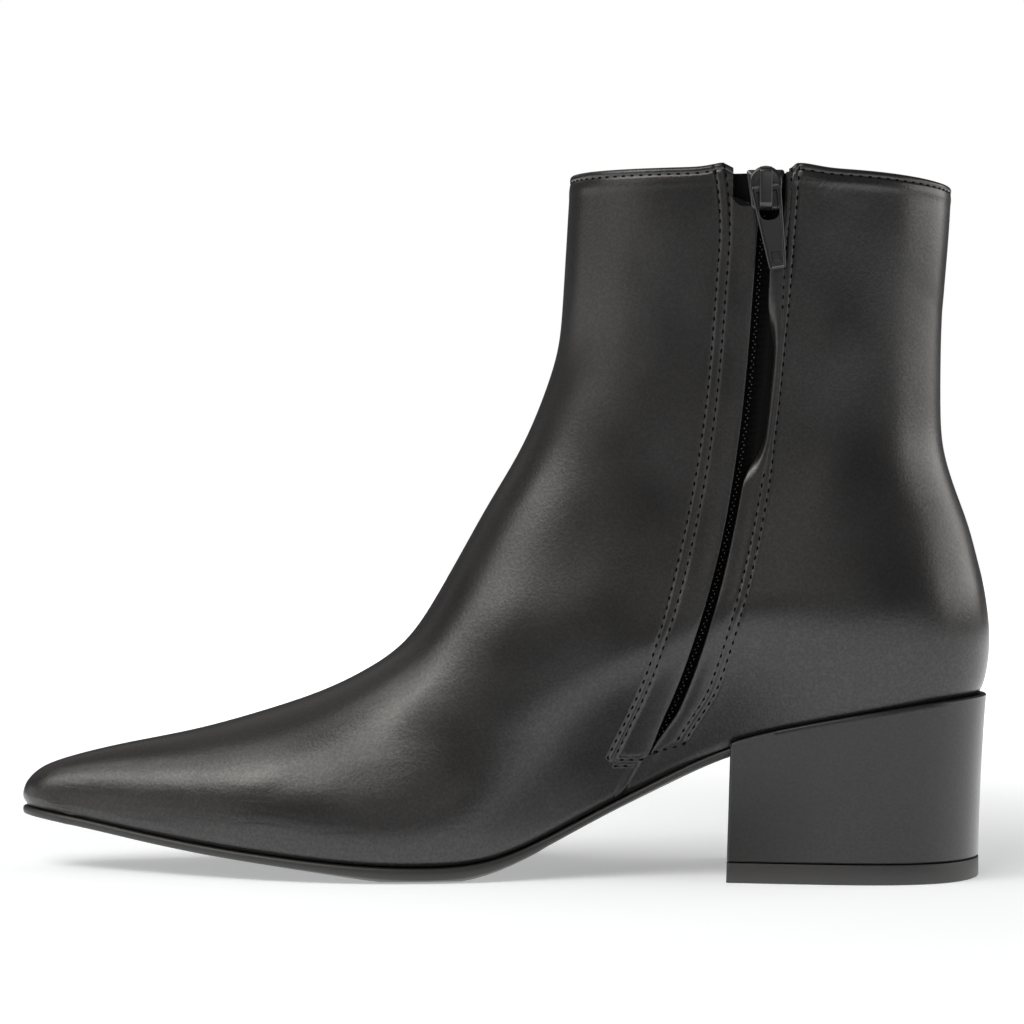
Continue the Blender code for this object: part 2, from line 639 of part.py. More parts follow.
def make_outsole(material):
    """The sole from toe to heel seat: proud of the feather line in front, inside the heel's lip behind."""
    plan = feather_line(loop_value("front_along", 0), loop_value("back_along", 0), True)
    x = plan[:, 0]
    breast = LENGTH * (ORIGIN_ALONG - BREAST)
    edge = SOLE_EDGE - (SOLE_EDGE - SEAT_EDGE) * smoothstep((x - breast) / SEAT_RUN + 1)
    edge -= (SOLE_EDGE - TOE_EDGE) * smoothstep((x.min() + TOE_RUN - x) / TOE_RUN)
    side = grown(plan, edge, True)
    belly = grown(plan, edge - BELLY_INSET, True)
    rings = [at_height(side, station("feather", x) - FIT), at_height(side, sole_edge_bottom(x)),
             at_height(belly, sole_bottom(x))]
    return slab("outsole", rings, True, material)


def make_insole(material):
    """The footbed, clear of the wall all round."""
    plan = feather_line(loop_value("front_along", 0), loop_value("back_along", 0), True)
    bottom = station("feather", plan[:, 0])
    room = WALL + INSOLE_ROOM
    rings = [at_height(grown(plan, -room, True), bottom + INSOLE_THICK), at_height(grown(plan, -room, True), bottom)]
    return slab("insole", rings, True, material)


def breast_x(z):
    """The heel's front face, which leans back with height."""
    return LENGTH * (ORIGIN_ALONG - BREAST) + BREAST_LEAN * z / HEEL_HEIGHT


def make_heel(cover, rubber):
    """Block heel with a lip round the heel seat, and the rubber top piece under it."""
    edge = feather_line(breast_x(HEEL_HEIGHT), loop_value("back_along", 0), False)
    lip_top = station("feather", edge[:, 0]) + LIP_RISE
    seat = sole_bottom(edge[:, 0]) - SEAT_FIT
    outside = LIP_GAP + LIP_THICK

    def wall(up):
        """Outer ring of the heel at a share of its height, hollowed half way up and drawn in at its foot."""
        plan = grown(edge, outside - HEEL_TAPER * (1 - up) - HEEL_SIDE_HOLLOW * 4 * up * (1 - up), False)
        rear = smoothstep((edge[:, 0] - edge[:, 0].max()) / HEEL_BACK_RUN + 1)
        return plan - np.outer(HEEL_BACK_LEAN * (1 - up) * rear, (1, 0))

    def ring(plan, height):
        """A ring that stops at the heel's front face."""
        points = at_height(plan, height)
        points[[0, -1], 0] = breast_x(points[[0, -1], 2])
        return points

    foot = LIFT_THICK + FIT
    rings = [ring(wall(up), foot + (lip_top - foot) * up) for up in HEEL_LEVELS]
    rings += [ring(grown(edge, outside - LIP_THICK / 3, False), lip_top),
              ring(grown(edge, LIP_GAP, False), lip_top - LIP_THICK / 6),
              ring(grown(edge, LIP_GAP - FIT, False), seat)]
    slab("heel_block", rings, False, cover)
    tread = grown(wall(0.0), -LIFT_BEVEL, False)
    slab("heel_top_lift", [ring(tread, 0.0), ring(wall(0.0), LIFT_BEVEL), ring(wall(0.0), LIFT_THICK)], False, rubber)


for item in list(bpy.data.objects):
    bpy.data.objects.remove(item)
PARTS = bpy.data.collections.new("heeled_bootie")
CUTTERS = bpy.data.collections.new("cutters")
for group in (PARTS, CUTTERS):
    bpy.context.scene.collection.children.link(group)
BOOT = bpy.data.objects.new("bootie", None)
PARTS.objects.link(BOOT)

LEATHER = make_material("black_calf", (0.016, 0.016, 0.017), 0.42)
LINING = make_material("black_lining", (0.02, 0.02, 0.021), 0.6)
RUBBER = make_material("black_rubber", (0.014, 0.014, 0.014), 0.65)
CLOTH = make_material("zip_cloth", (0.012, 0.012, 0.013), 0.85)
COIL = make_material("zip_coil", (0.02, 0.02, 0.021), 0.4)
METAL = make_material("black_metal", (0.03, 0.03, 0.032), 0.32, 1.0)

make_upper(LEATHER)
make_zip(LEATHER, CLOTH, COIL)
make_slider(METAL)
make_pull_tab(METAL)
make_outsole(RUBBER)
make_insole(LINING)
make_heel(LEATHER, RUBBER)
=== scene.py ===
"""Looks of the heeled bootie, right shoe: fine surfaces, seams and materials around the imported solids.

The toe points to -X, the heel to +X and the inner side, with the zip, to -Y. Sizes are in millimetres,
and put() turns them into metres. The shape of the last repeats the tables that the solids are made from.
"""

import bmesh
import bpy
import numpy as np
from mathutils import Matrix, Vector


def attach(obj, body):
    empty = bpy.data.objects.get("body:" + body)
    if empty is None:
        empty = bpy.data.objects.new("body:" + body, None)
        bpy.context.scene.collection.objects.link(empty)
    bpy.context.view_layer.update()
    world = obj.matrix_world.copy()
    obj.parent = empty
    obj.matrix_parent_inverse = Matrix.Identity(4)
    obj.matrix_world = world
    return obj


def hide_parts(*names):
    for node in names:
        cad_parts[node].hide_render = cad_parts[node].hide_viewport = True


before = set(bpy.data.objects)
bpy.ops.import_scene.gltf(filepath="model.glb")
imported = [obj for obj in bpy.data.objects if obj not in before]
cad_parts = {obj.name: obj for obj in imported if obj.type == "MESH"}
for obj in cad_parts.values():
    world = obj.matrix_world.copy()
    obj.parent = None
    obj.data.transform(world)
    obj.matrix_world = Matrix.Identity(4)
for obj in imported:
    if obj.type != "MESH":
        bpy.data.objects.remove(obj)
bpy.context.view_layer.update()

MM = 0.001

# The last: driving sizes, stations along the foot and girth loops up to the collar
LENGTH = 273.0
HEIGHT = 195.0
BALL_WIDTH = 75.0
HEEL_HEIGHT = 50.8
LEG_WIDTH = 60.0
WALL = 2.0
SOLE_THICK = 1.9
LIFT_THICK = 5.5
FIT = 0.3
ORIGIN_ALONG = 0.498
STATION_COLUMNS = ("along", "feather", "axis", "inner", "outer")
STATIONS = np.array([
    (0.000, 0.976, -0.012, 0.376, 0.372),
    (0.060, 0.945, -0.012, 0.376, 0.372),
    (0.115, 0.899, -0.012, 0.373, 0.369),
    (0.200, 0.812, -0.008, 0.350, 0.362),
    (0.265, 0.718, -0.004, 0.332, 0.368),
    (0.340, 0.530, 0.006, 0.320, 0.388),
    (0.400, 0.363, 0.012, 0.334, 0.420),
    (0.460, 0.200, 0.014, 0.385, 0.462),
    (0.500, 0.122, 0.010, 0.432, 0.490),
    (0.560, 0.088, -0.002, 0.478, 0.502),
    (0.630, 0.100, -0.018, 0.492, 0.484),
    (0.710, 0.139, -0.036, 0.458, 0.432),
    (0.790, 0.188, -0.054, 0.372, 0.352),
    (0.870, 0.253, -0.068, 0.266, 0.254),
    (0.940, 0.314, -0.076, 0.172, 0.168),
    (1.000, 0.355, -0.078, 0.110, 0.108),
])
LOOP_COLUMNS = ("front_along", "front_up", "back_along", "back_up", "front_round", "back_round")
LOOPS = np.array([
    (0.9945, 0.0920, 0.0104, 0.2543, 0.046, 0.122),
    (0.9962, 0.1018, 0.0052, 0.2740, 0.046, 0.126),
    (0.9951, 0.1143, 0.0024, 0.2920, 0.047, 0.130),
    (0.9890, 0.1296, 0.0008, 0.3100, 0.049, 0.134),
    (0.9742, 0.1462, 0.0000, 0.3310, 0.054, 0.139),
    (0.9437, 0.1616, 0.0002, 0.3540, 0.064, 0.144),
    (0.8825, 0.1824, 0.0020, 0.3820, 0.086, 0.150),
    (0.8100, 0.2028, 0.0046, 0.4080, 0.110, 0.156),
    (0.7384, 0.2313, 0.0081, 0.4310, 0.135, 0.161),
    (0.6762, 0.2626, 0.0128, 0.4565, 0.156, 0.167),
    (0.6253, 0.2995, 0.0183, 0.4845, 0.176, 0.173),
    (0.5901, 0.3426, 0.0249, 0.5130, 0.194, 0.179),
    (0.5590, 0.4100, 0.0326, 0.5435, 0.212, 0.184),
    (0.5223, 0.5015, 0.0410, 0.5820, 0.222, 0.188),
    (0.4857, 0.5887, 0.0469, 0.6260, 0.222, 0.191),
    (0.4590, 0.6677, 0.0487, 0.6820, 0.214, 0.193),
    (0.4421, 0.7359, 0.0484, 0.7335, 0.206, 0.194),
    (0.4355, 0.7949, 0.0469, 0.7925, 0.200, 0.195),
    (0.4322, 0.8667, 0.0436, 0.8590, 0.196, 0.195),
    (0.4297, 0.9385, 0.0396, 0.9280, 0.194, 0.194),
    (0.4264, 0.9990, 0.0381, 0.9770, 0.194, 0.194),
])
RIM_LOOP = float(len(LOOPS) - 1)
COLLAR_BOW = 1.6
ARCH_LOOPS = 12.0
ARCH_FADE = 1.5
BOW_LOOPS = 8.0
LEG_COLUMNS = ("up", "half")
LEG = np.array([
    (0.20, 0.520), (0.30, 0.531), (0.365, 0.528), (0.435, 0.503),
    (0.515, 0.486), (0.64, 0.479), (0.80, 0.484), (1.00, 0.500),
])
LEG_RISE = 41.0
LEG_RUN = 75.0
TUCK_HEIGHT = 20.0
TUCK_SHARE = 0.080
FULLNESS = 2.2
FULL_AT = 0.85
SLOPE_STEP = 0.5
ZIP_COLUMNS = ("up", "along")
ZIP = np.array([
    (0.170, 0.3425), (0.256, 0.3135), (0.359, 0.2875), (0.513, 0.2610),
    (0.667, 0.2440), (0.821, 0.2345), (1.010, 0.2245),
])

# Zip: slot edges, strips, coil, slider
SLOT_FRONT = 8.3
SLOT_BACK = 6.0
ZIP_END = 36.5
STRIP_THICK = 1.2
STRIP_GAP = 1.3
TEETH_WIDTH = 4.4
TOOTH_PITCH = 1.82
SLIDER_DROP = 5.8
SLIDER_WIDTH = 9.8
SLIDER_LENGTH = 11.5
BRIDGE_WIDTH = 3.4
BRIDGE_THICK = 1.2
BAR_ROOM = 1.35
SLIDER_TOP = 0.9
TAPE_LIFT = 0.9
TAB_LENGTH = 23.0
TAB_TOP_WIDTH = 8.4
TAB_FOOT_WIDTH = 4.6
TAB_THICK = 1.5
TAB_BAR = 1.7
TAB_WINDOW = 8.0
TAB_WINDOW_WIDTH = 5.6
TAB_LEAN = 8.4

# Sole and heel
SOLE_EDGE = 1.1
TOE_EDGE = 0.4
TOE_RUN = 20.0
SEAT_EDGE = -0.3
SEAT_RUN = 16.0
BALL_X = -16.0
TREAD_BALL = 1.1
TREAD_SPREAD = 27.0
TREAD_THICK = 0.3
TREAD_END = 0.452
BELLY = 0.7
BALL_BELLY = 0.9
BELLY_INSET = 5.0
BREAST = 0.2662
BREAST_LEAN = 1.6
BREAST_ROUND = 0.8
BREAST_STEPS = 6
LIP_GAP = 0.9
LIP_THICK = 1.3
LIP_RISE = 1.2
LIP_DROP = 0.7
HEEL_TAPER = 0.3
HEEL_BACK_LEAN = 1.9
HEEL_BACK_RUN = 25.0
HEEL_SIDE_HOLLOW = 0.4
LIFT_BEVEL = 0.5
SEAT_FIT = 0.5

# Seams, as offsets from the zip's centre line (plus is backwards) and as a depth under the collar's rim
FRONT_ROWS = (-8.7, -11.3)
BACK_ROWS = (6.7, 8.7)
TOPLINE_DEPTH = 1.9
STITCH_PITCH = 2.65
STITCH_LENGTH = 1.5
THREAD_RADIUS = 0.29


def column(table, names, name):
    """A table's column by its name."""
    return table[:, names.index(name)]


def spline(at, values, x):
    """Natural cubic spline through table values, held flat outside the table."""
    at = np.asarray(at, float)
    values = np.asarray(values, float)
    step = np.diff(at)
    rise = np.diff(values) / step
    count = len(at)
    inner = np.arange(1, count - 1)
    system = np.eye(count)
    system[inner, inner - 1] = step[:-1]
    system[inner, inner] = 2 * (step[:-1] + step[1:])
    system[inner, inner + 1] = step[1:]
    right = np.zeros(count)
    right[inner] = 6 * np.diff(rise)
    bend = np.linalg.solve(system, right)
    x = np.clip(x, at[0], at[-1])
    i = np.clip(np.searchsorted(at, x) - 1, 0, count - 2)
    a = at[i + 1] - x
    b = x - at[i]
    h = step[i]
    return ((bend[i] * a ** 3 + bend[i + 1] * b ** 3) / (6 * h)
            + (values[i] / h - bend[i] * h / 6) * a + (values[i + 1] / h - bend[i + 1] * h / 6) * b)


def smoothstep(t):
    """0 to 1 over the unit run, level at both ends: t squared times (3 - 2 t)."""
    t = np.clip(t, 0, 1)
    return t * t * (3 - 2 * t)


def bell(t):
    """A soft hump: 1 in the middle, falling away as exp(-t squared)."""
    return np.exp(-np.square(t))


def above(z, step):
    """An amount that comes in above a height, over a run: step holds the three."""
    amount, height, run = step
    return amount * smoothstep((z - height) / run)


def below(z, step):
    """An amount that comes in below a height, over a run: step holds the three."""
    amount, height, run = step
    return amount * smoothstep((height - z) / run)


def hump(t, step):
    """A bell of an amount about a middle, with a spread: step holds the three."""
    amount, centre, spread = step
    return amount * bell((t - centre) / spread)


def unit(v):
    """Vectors scaled to length one."""
    return v / np.maximum(np.linalg.norm(v, axis=-1, keepdims=True), 1e-9)


def run_length(line):
    """Length along a line of points, from 0 at its start."""
    return np.concatenate([[0], np.cumsum(np.linalg.norm(np.diff(line, axis=0), axis=1))])


def at_length(at, length, values):
    """Vectors known along a line, read at other lengths along it."""
    return np.stack([np.interp(at, length, values[:, k]) for k in range(3)], axis=-1)


def station(name, x):
    """A column of the last's stations at x, in millimetres."""
    scale = HEEL_HEIGHT if name == "feather" else BALL_WIDTH
    return scale * spline(column(STATIONS, STATION_COLUMNS, "along"),
                          column(STATIONS, STATION_COLUMNS, name), ORIGIN_ALONG - np.asarray(x) / LENGTH)


def loop_value(name, loop):
    """A column of the girth loops, in millimetres, at a loop number that may lie between two rows."""
    value = spline(np.arange(len(LOOPS)), column(LOOPS, LOOP_COLUMNS, name), loop)
    if name.endswith("along"):
        return LENGTH * (ORIGIN_ALONG - value)
    return value * (HEIGHT if name.endswith("up") else LENGTH)


PROFILE_LOOPS = np.linspace(0, len(LOOPS) - 1, 401)
FRONT_X = loop_value("front_along", PROFILE_LOOPS)
FRONT_Z = loop_value("front_up", PROFILE_LOOPS)
FRONT_ROUND = loop_value("front_round", PROFILE_LOOPS)
FRONT_RUN = unit(np.gradient(np.stack([FRONT_X, FRONT_Z], axis=-1), axis=0))
BACK_X = loop_value("back_along", PROFILE_LOOPS)
BACK_Z = loop_value("back_up", PROFILE_LOOPS)
BACK_ROUND = loop_value("back_round", PROFILE_LOOPS)


def front_gap(x, z):
    """Distance inside the front profile, square to its run or straight at its ends, and its rounding."""
    away_x = x[..., None] - FRONT_X
    away_z = z[..., None] - FRONT_Z
    square = away_x ** 2 + away_z ** 2
    nearest = square.argmin(axis=-1)
    run = FRONT_RUN[nearest]
    inside = run[..., 1] * (x - FRONT_X[nearest]) - run[..., 0] * (z - FRONT_Z[nearest])
    at_end = (nearest == 0) | (nearest == len(FRONT_X) - 1)
    return np.where(at_end, np.sqrt(square.min(axis=-1)), inside), FRONT_ROUND[nearest]


def opening_out(t):
    """Share of the full half width at t rounding lengths from the ridge of a section."""
    return np.sqrt(1 - np.exp(-FULLNESS * np.maximum(t, 0)))


def shaft_share(x, z):
    """How far the shaft has taken over from the foot: 0 at the feather line and the toes, 1 up the leg."""
    return smoothstep((z - station("feather", x)) / LEG_RISE) * smoothstep(np.asarray(x) / LEG_RUN + 1)


def half_width(x, z, side):
    """Half width at a place of the side view: sole width into shaft width, rounded to both profiles."""
    x, z = np.broadcast_arrays(np.asarray(x, float), np.asarray(z, float))
    over = z - station("feather", x)
    low = station(side, x)
    leg = LEG_WIDTH * spline(column(LEG, LEG_COLUMNS, "up"), column(LEG, LEG_COLUMNS, "half"), z / HEIGHT)
    full = low + (leg - low) * shaft_share(x, z)
    gap, round_off = front_gap(x, z)
    front = opening_out(gap / round_off) / opening_out(FULL_AT)
    back = opening_out((np.interp(z, BACK_Z, BACK_X) - x) / np.interp(z, BACK_Z, BACK_ROUND))
    tuck = 1 - TUCK_SHARE * np.clip(1 - over / TUCK_HEIGHT, 0, 1) ** 2
    return full * front * back * tuck


def middle(x, z):
    """Y of the boot's middle line: the foot's curve below, the heel's axis above."""
    low = station("axis", x)
    return low + (station("axis", LENGTH / 2) - low) * shaft_share(x, z)


def wall_y(x, z, side):
    """Y of the upper's outer face on its inner or outer side."""
    sign = -1 if side == "inner" else 1
    return middle(x, z) + sign * half_width(x, z, side)


def loop_point(share, loop):
    """Side view place (x, z) on a girth loop, share 0 at the back and 1 at the front.

    Near the sole the loop gives way to the feather line. Near the collar it bows up by a curve of share
    times (1 - share) squared, scaled to 1 at its highest.
    """
    def between(kind, at):
        back = loop_value("back_" + kind, at)
        return back + (loop_value("front_" + kind, at) - back) * share

    fade = np.clip(1 - loop / ARCH_LOOPS, 0, 1) ** ARCH_FADE
    to_feather = station("feather", between("along", 0)) - between("up", 0)
    bow = COLLAR_BOW * share * (1 - share) ** 2 * 27 / 4 * smoothstep((loop - ARCH_LOOPS) / BOW_LOOPS)
    return between("along", loop), between("up", loop) + to_feather * fade + bow


def zip_x(z):
    """X of the zip's centre line at a height."""
    along = spline(column(ZIP, ZIP_COLUMNS, "up"), column(ZIP, ZIP_COLUMNS, "along"), z / HEIGHT)
    return LENGTH * (ORIGIN_ALONG - along)


def zip_slant(z):
    """Length along a level line for each millimetre across the zip."""
    return np.sqrt(1 + (zip_x(z + SLOPE_STEP) - zip_x(z - SLOPE_STEP)) ** 2)


def zip_offset(x, z):
    """Distance across the zip from its centre line, plus backwards."""
    return (x - zip_x(z)) / zip_slant(z)


def zip_point(z, offset, lift):
    """Points of the zip's own frame: height z, offset across, lift off the upper's face along its normal."""
    z, offset, lift = np.broadcast_arrays(*(np.asarray(v, float) for v in (z, offset, lift)))
    x = zip_x(z) + offset * zip_slant(z)
    step = SLOPE_STEP
    y = wall_y(x, z, "inner")
    dy_dx = (wall_y(x + step, z, "inner") - wall_y(x - step, z, "inner")) / (2 * step)
    dy_dz = (wall_y(x, z + step, "inner") - wall_y(x, z - step, "inner")) / (2 * step)
    normal = unit(np.stack([dy_dx, -np.ones_like(y), dy_dz], axis=-1))
    return np.stack([x, y, z], axis=-1) + normal * lift[..., None]


def zip_outward(z, offset=0.0):
    """Direction out of the upper's face at a place of the zip."""
    return zip_point(z, offset, 1.0) - zip_point(z, offset, 0.0)


def collar_z(x):
    """Height of the collar's edge over x."""
    edge_x, edge_z = loop_point(np.linspace(0, 1, 200), RIM_LOOP)
    return np.interp(x, edge_x[::-1], edge_z[::-1])


def rim_depth(loops):
    """Depth of loops under the collar's rim, at the front."""
    return loop_value("front_up", RIM_LOOP) - loop_value("front_up", loops)


ZIP_TOP = float(collar_z(zip_x(HEIGHT)))


# Meshes

def grid_faces(rows, cols, wrap_rows=False, wrap_cols=False, start=0):
    """Quads of a grid of points stored row by row, closed round either way where asked."""
    i = np.arange(rows if wrap_rows else rows - 1)[:, None]
    j = np.arange(cols if wrap_cols else cols - 1)[None, :]
    low = i * cols
    high = (i + 1) % rows * cols
    left = np.broadcast_to(j, (len(i), j.shape[1]))
    right = (left + 1) % cols
    corners = np.stack([low + left, low + right, high + right, high + left], axis=-1)
    return start + corners.reshape(-1, 4)


def quads(*corners):
    """Quads from four arrays, one for each corner."""
    return np.stack(corners, axis=-1).tolist()


def tube_faces(rows, cols, start=0):
    """Faces of rings of points stored one after another, with a flat cap at both ends."""
    caps = start + np.array([np.arange(cols), np.arange((rows - 1) * cols, rows * cols)])
    return grid_faces(rows, cols, wrap_cols=True, start=start).tolist() + caps.tolist()


def bead_faces(count, rows, cols):
    """Faces of separate tubes of one size, stored one after another."""
    one = tube_faces(rows, cols)
    return [[k * rows * cols + v for v in face] for k in range(count) for face in one]


def put(name, points, faces, materials, face_material=None, body="boot", node=(), slot=None, sharp=40,
        wrinkled=None):
    """A piece of the boot from points in millimetres, riding on a body and standing for the nodes named."""
    mesh = bpy.data.meshes.new(name)
    places = np.asarray(points).reshape(-1, 3) * MM
    mesh.from_pydata(places.tolist(), [], [list(map(int, face)) for face in faces])
    for material in materials:
        mesh.materials.append(material)
    if face_material is not None:
        mesh.polygons.foreach_set("material_index", np.asarray(face_material, np.int32))
    if wrinkled is not None:
        mesh.attributes.new("wrinkled", "FLOAT", "POINT").data.foreach_set("value", np.ravel(wrinkled))
    build = bmesh.new()
    build.from_mesh(mesh)
    bmesh.ops.delete(build, geom=[v for v in build.verts if not v.link_faces], context="VERTS")
    bmesh.ops.recalc_face_normals(build, faces=build.faces)
    build.to_mesh(mesh)
    build.free()
    mesh.shade_smooth()
    if sharp:
        mesh.set_sharp_from_angle(angle=np.radians(sharp))
    piece = bpy.data.objects.new(name, mesh)
    bpy.context.scene.collection.objects.link(piece)
    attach(piece, body)
    if node:
        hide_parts(*node)
    return piece


# Materials

def linear(code):
    """Linear colour with alpha from an sRGB hex code."""
    value = np.array([int(code[i:i + 2], 16) for i in (1, 3, 5)]) / 255
    return (*np.where(value <= 0.04045, value / 12.92, ((value + 0.055) / 1.055) ** 2.4), 1)


def wire(tree, item, links):
    """Links pairs of socket and source into a node."""
    for socket, source in links:
        tree.links.new(source, item.inputs[socket])


def add(tree, kind, links=(), **settings):
    """Adds a node, with its settings by property or socket name, and links pairs of socket and source."""
    item = tree.nodes.new("ShaderNode" + kind)
    for name, value in settings.items():
        socket = name.replace("_", " ").title()
        if socket in item.inputs:
            item.inputs[socket].default_value = value
        else:
            setattr(item, name, value)
    wire(tree, item, links)
    return item


def new_material(name, code, roughness, coat=0.0, specular=0.5):
    """A named material with a plain shader, its tree, the shader and the Object coordinates."""
    material = bpy.data.materials.new(name)
    material.use_nodes = True
    tree = material.node_tree
    shader = tree.nodes["Principled BSDF"]
    shader.inputs["Base Color"].default_value = linear(code)
    shader.inputs["Roughness"].default_value = roughness
    shader.inputs["Coat Weight"].default_value = coat
    shader.inputs["Coat Roughness"].default_value = 0.15
    shader.inputs["Specular IOR Level"].default_value = specular
    place = add(tree, "TexCoord").outputs["Object"]
    return material, tree, shader, place


def per_mm(size):
    """Scale of a pattern whose features are this many millimetres apart."""
    return 1 / (size * MM)


# Leather patterns, in millimetres: cells and pores of the grain, patches of gloss, lie and size of the folds
CELL_SIZE = 0.75
PORE_SIZE = 0.45
CLOUD_SIZE = 26.0
GRAIN_DEPTH = 0.12
PORE_HEIGHTS = (0.6, 1.3)
FOLD_DEPTH = 0.14
FOLD_STRENGTH = 0.4
WAVE_TURNS = 20
WRINKLE_LIE = 52.0
WRINKLE_SIZE = (4.5, 4.5, 0.9)


def calf(name, dark, light, grain, polish, pore_shade):
    """Smooth box calf: a dyed grain with fine pores under a thin wax finish, so soft broad highlights.

    The grain is cells about 0.7 mm apart with fainter pores, which shine less than the leather round them:
    partly their own dullness, partly painted shade for the shade that the pores cast on the gloss.
    The gloss wanders over a few centimetres. Where the mesh says that it is wrinkled, hair-thin folds run
    slantwise across it.
    """
    material, tree, shader, place = new_material(name, dark, polish)
    cells = add(tree, "TexVoronoi", [("Vector", place)], feature="SMOOTH_F1",
                scale=per_mm(CELL_SIZE))
    pores = add(tree, "TexNoise", [("Vector", place)], scale=per_mm(PORE_SIZE), detail=3.0)
    cloud = add(tree, "TexNoise", [("Vector", place)], scale=per_mm(CLOUD_SIZE), detail=3.0)
    height = add(tree, "Math", [(0, cells.outputs["Distance"]), (1, pores.outputs["Fac"])],
                 operation="ADD")
    grained = add(tree, "Bump", [("Height", height.outputs[0])], strength=grain,
                  distance=GRAIN_DEPTH * MM)
    lie = add(tree, "Mapping", [("Vector", place)], vector_type="TEXTURE",
              rotation=(0, -np.radians(WRINKLE_LIE), 0), scale=[size * MM for size in WRINKLE_SIZE])
    folds = add(tree, "TexNoise", [("Vector", lie.outputs[0])], scale=1.0, detail=2.0)
    where = add(tree, "Attribute", attribute_name="wrinkled")
    shown = add(tree, "Math", [(0, folds.outputs["Fac"]), (1, where.outputs["Fac"])],
                operation="MULTIPLY")
    bump = add(tree, "Bump", [("Height", shown.outputs[0]), ("Normal", grained.outputs["Normal"])],
               strength=FOLD_STRENGTH, distance=FOLD_DEPTH * MM)
    tint = add(tree, "Mix", [(0, cloud.outputs["Fac"])], data_type="RGBA", a=linear(dark),
               b=linear(light))
    gloss = add(tree, "MapRange", [("Value", cloud.outputs["Fac"])], from_min=0.3, from_max=0.7,
                to_min=polish - 0.04, to_max=polish + 0.05)
    # Painted shade: the specular level drops in the pores, partly their own dullness, partly standing in for
    # the shade they cast on the gloss
    pore_shaded_shine = add(tree, "MapRange", [("Value", height.outputs[0])], from_min=PORE_HEIGHTS[0],
                from_max=PORE_HEIGHTS[1], to_min=0.5 - pore_shade, to_max=0.5 + pore_shade)
    wire(tree, shader, [("Base Color", tint.outputs["Result"]), ("Roughness", gloss.outputs["Result"]),
                        ("Specular IOR Level", pore_shaded_shine.outputs["Result"]), ("Normal", bump.outputs["Normal"])])
    return material


def pebbled(name, code, roughness, size, depth, strength, coat=0.0, specular=0.5):
    """A plain finish with a fine even unevenness of a given size, for rubber, lining, coating and thread."""
    material, tree, shader, place = new_material(name, code, roughness, coat, specular)
    noise = add(tree, "TexNoise", [("Vector", place)], scale=per_mm(size), detail=4.0)
    bump = add(tree, "Bump", [("Height", noise.outputs["Fac"])], strength=strength,
               distance=depth * MM)
    wire(tree, shader, [("Normal", bump.outputs["Normal"])])
    return material


def woven(name, code, thread):
    """Zip tape: a tight twill of black polyester thread, matt and slightly ribbed along its length. Its very
    low shine is partly painted shade for the deep gap that it lies in.
    """
    material, tree, shader, place = new_material(name, code, 0.85, specular=0.1)
    up, along = (add(tree, "TexWave", [("Vector", place)], bands_direction=way,
                     scale=per_mm(thread) / WAVE_TURNS) for way in "ZX")
    cross = add(tree, "Math", [(0, up.outputs["Fac"]), (1, along.outputs["Fac"])],
                operation="MULTIPLY")
    bump = add(tree, "Bump", [("Height", cross.outputs[0])], strength=0.6, distance=0.15 * MM)
    wire(tree, shader, [("Normal", bump.outputs["Normal"])])
    return material


# Upper leather: deep black with soft wide highlights and a fine grain
CALF = calf("black_box_calf", "#151414", "#1b1a1a", 0.19, 0.31, 0.09)
# Heel cover: the same leather drawn tight, so smoother and a little duller
HEEL_CALF = calf("black_heel_cover_calf", "#161515", "#1c1b1b", 0.14, 0.34, 0.04)
# Lining and footbed: matt and finely pebbled
LINING = pebbled("black_goat_lining", "#1a1919", 0.6, 0.6, 0.15, 0.4)
# Sole: satin black with a faint unevenness
SOLE_RUBBER = pebbled("black_sole_rubber", "#191918", 0.5, 0.9, 0.1, 0.3)
# Heel lift: a touch greyer and duller than the sole
LIFT_RUBBER = pebbled("black_lift_rubber", "#242323", 0.55, 0.8, 0.1, 0.35)
# Slider and tab: smooth enamel with thin bright edges
COATED = pebbled("black_enamelled_zinc", "#161617", 0.3, 2.5, 0.05, 0.15, coat=0.2)
# Coil heads: hard nylon, each with a bright dot
COIL = pebbled("black_nylon_coil", "#141414", 0.22, 0.8, 0.05, 0.2)
# Thread, and painted shade on the coil legs: matt, darker than the leather; the legs are the coil's own
# nylon, made near-black and dull to stand in for the shade they lie in deep in the slot
THREAD_AND_LEG_SHADE = pebbled("black_thread_and_coil_leg_shade", "#030303", 0.85, 0.25, 0.1, 0.6, specular=0.06)
# Tape: black polyester, matt, and darkened to the darkest of all as painted shade for the deep gap it lies in
TAPE_AND_GAP_SHADE = woven("black_polyester_tape_with_gap_shade", "#060606", 0.45)


# Upper

# Creases on the leather: middle (x, z) in the side view, side, lie in degrees up from +X,
# half length, half width, depth; a negative depth is a ridge
CREASES = [
    (-62.0, 24.0, "inner", 38.0, 9.0, 2.6, 0.10),
    (-55.0, 27.0, "inner", 42.0, 10.0, 2.8, 0.12),
    (-47.0, 31.0, "inner", 46.0, 11.0, 3.0, 0.12),
    (-30.0, 46.0, "inner", 50.0, 9.0, 3.0, 0.14),
    (-20.0, 52.0, "inner", 55.0, 8.0, 3.0, -0.10),
    (8.0, 62.0, "inner", 70.0, 13.0, 5.0, 0.16),
    (118.0, 160.0, "inner", -38.0, 8.0, 2.2, 0.16),
    (112.0, 152.0, "inner", -35.0, 7.0, 2.4, -0.10),
    (-58.0, 25.0, "outer", 40.0, 10.0, 2.8, 0.12),
    (-44.0, 32.0, "outer", 44.0, 11.0, 3.0, 0.14),
    (-24.0, 50.0, "outer", 52.0, 10.0, 3.2, 0.14),
    (110.0, 128.0, "outer", -30.0, 12.0, 4.0, 0.2),
    (96.0, 118.0, "outer", -20.0, 14.0, 5.0, 0.2),
]
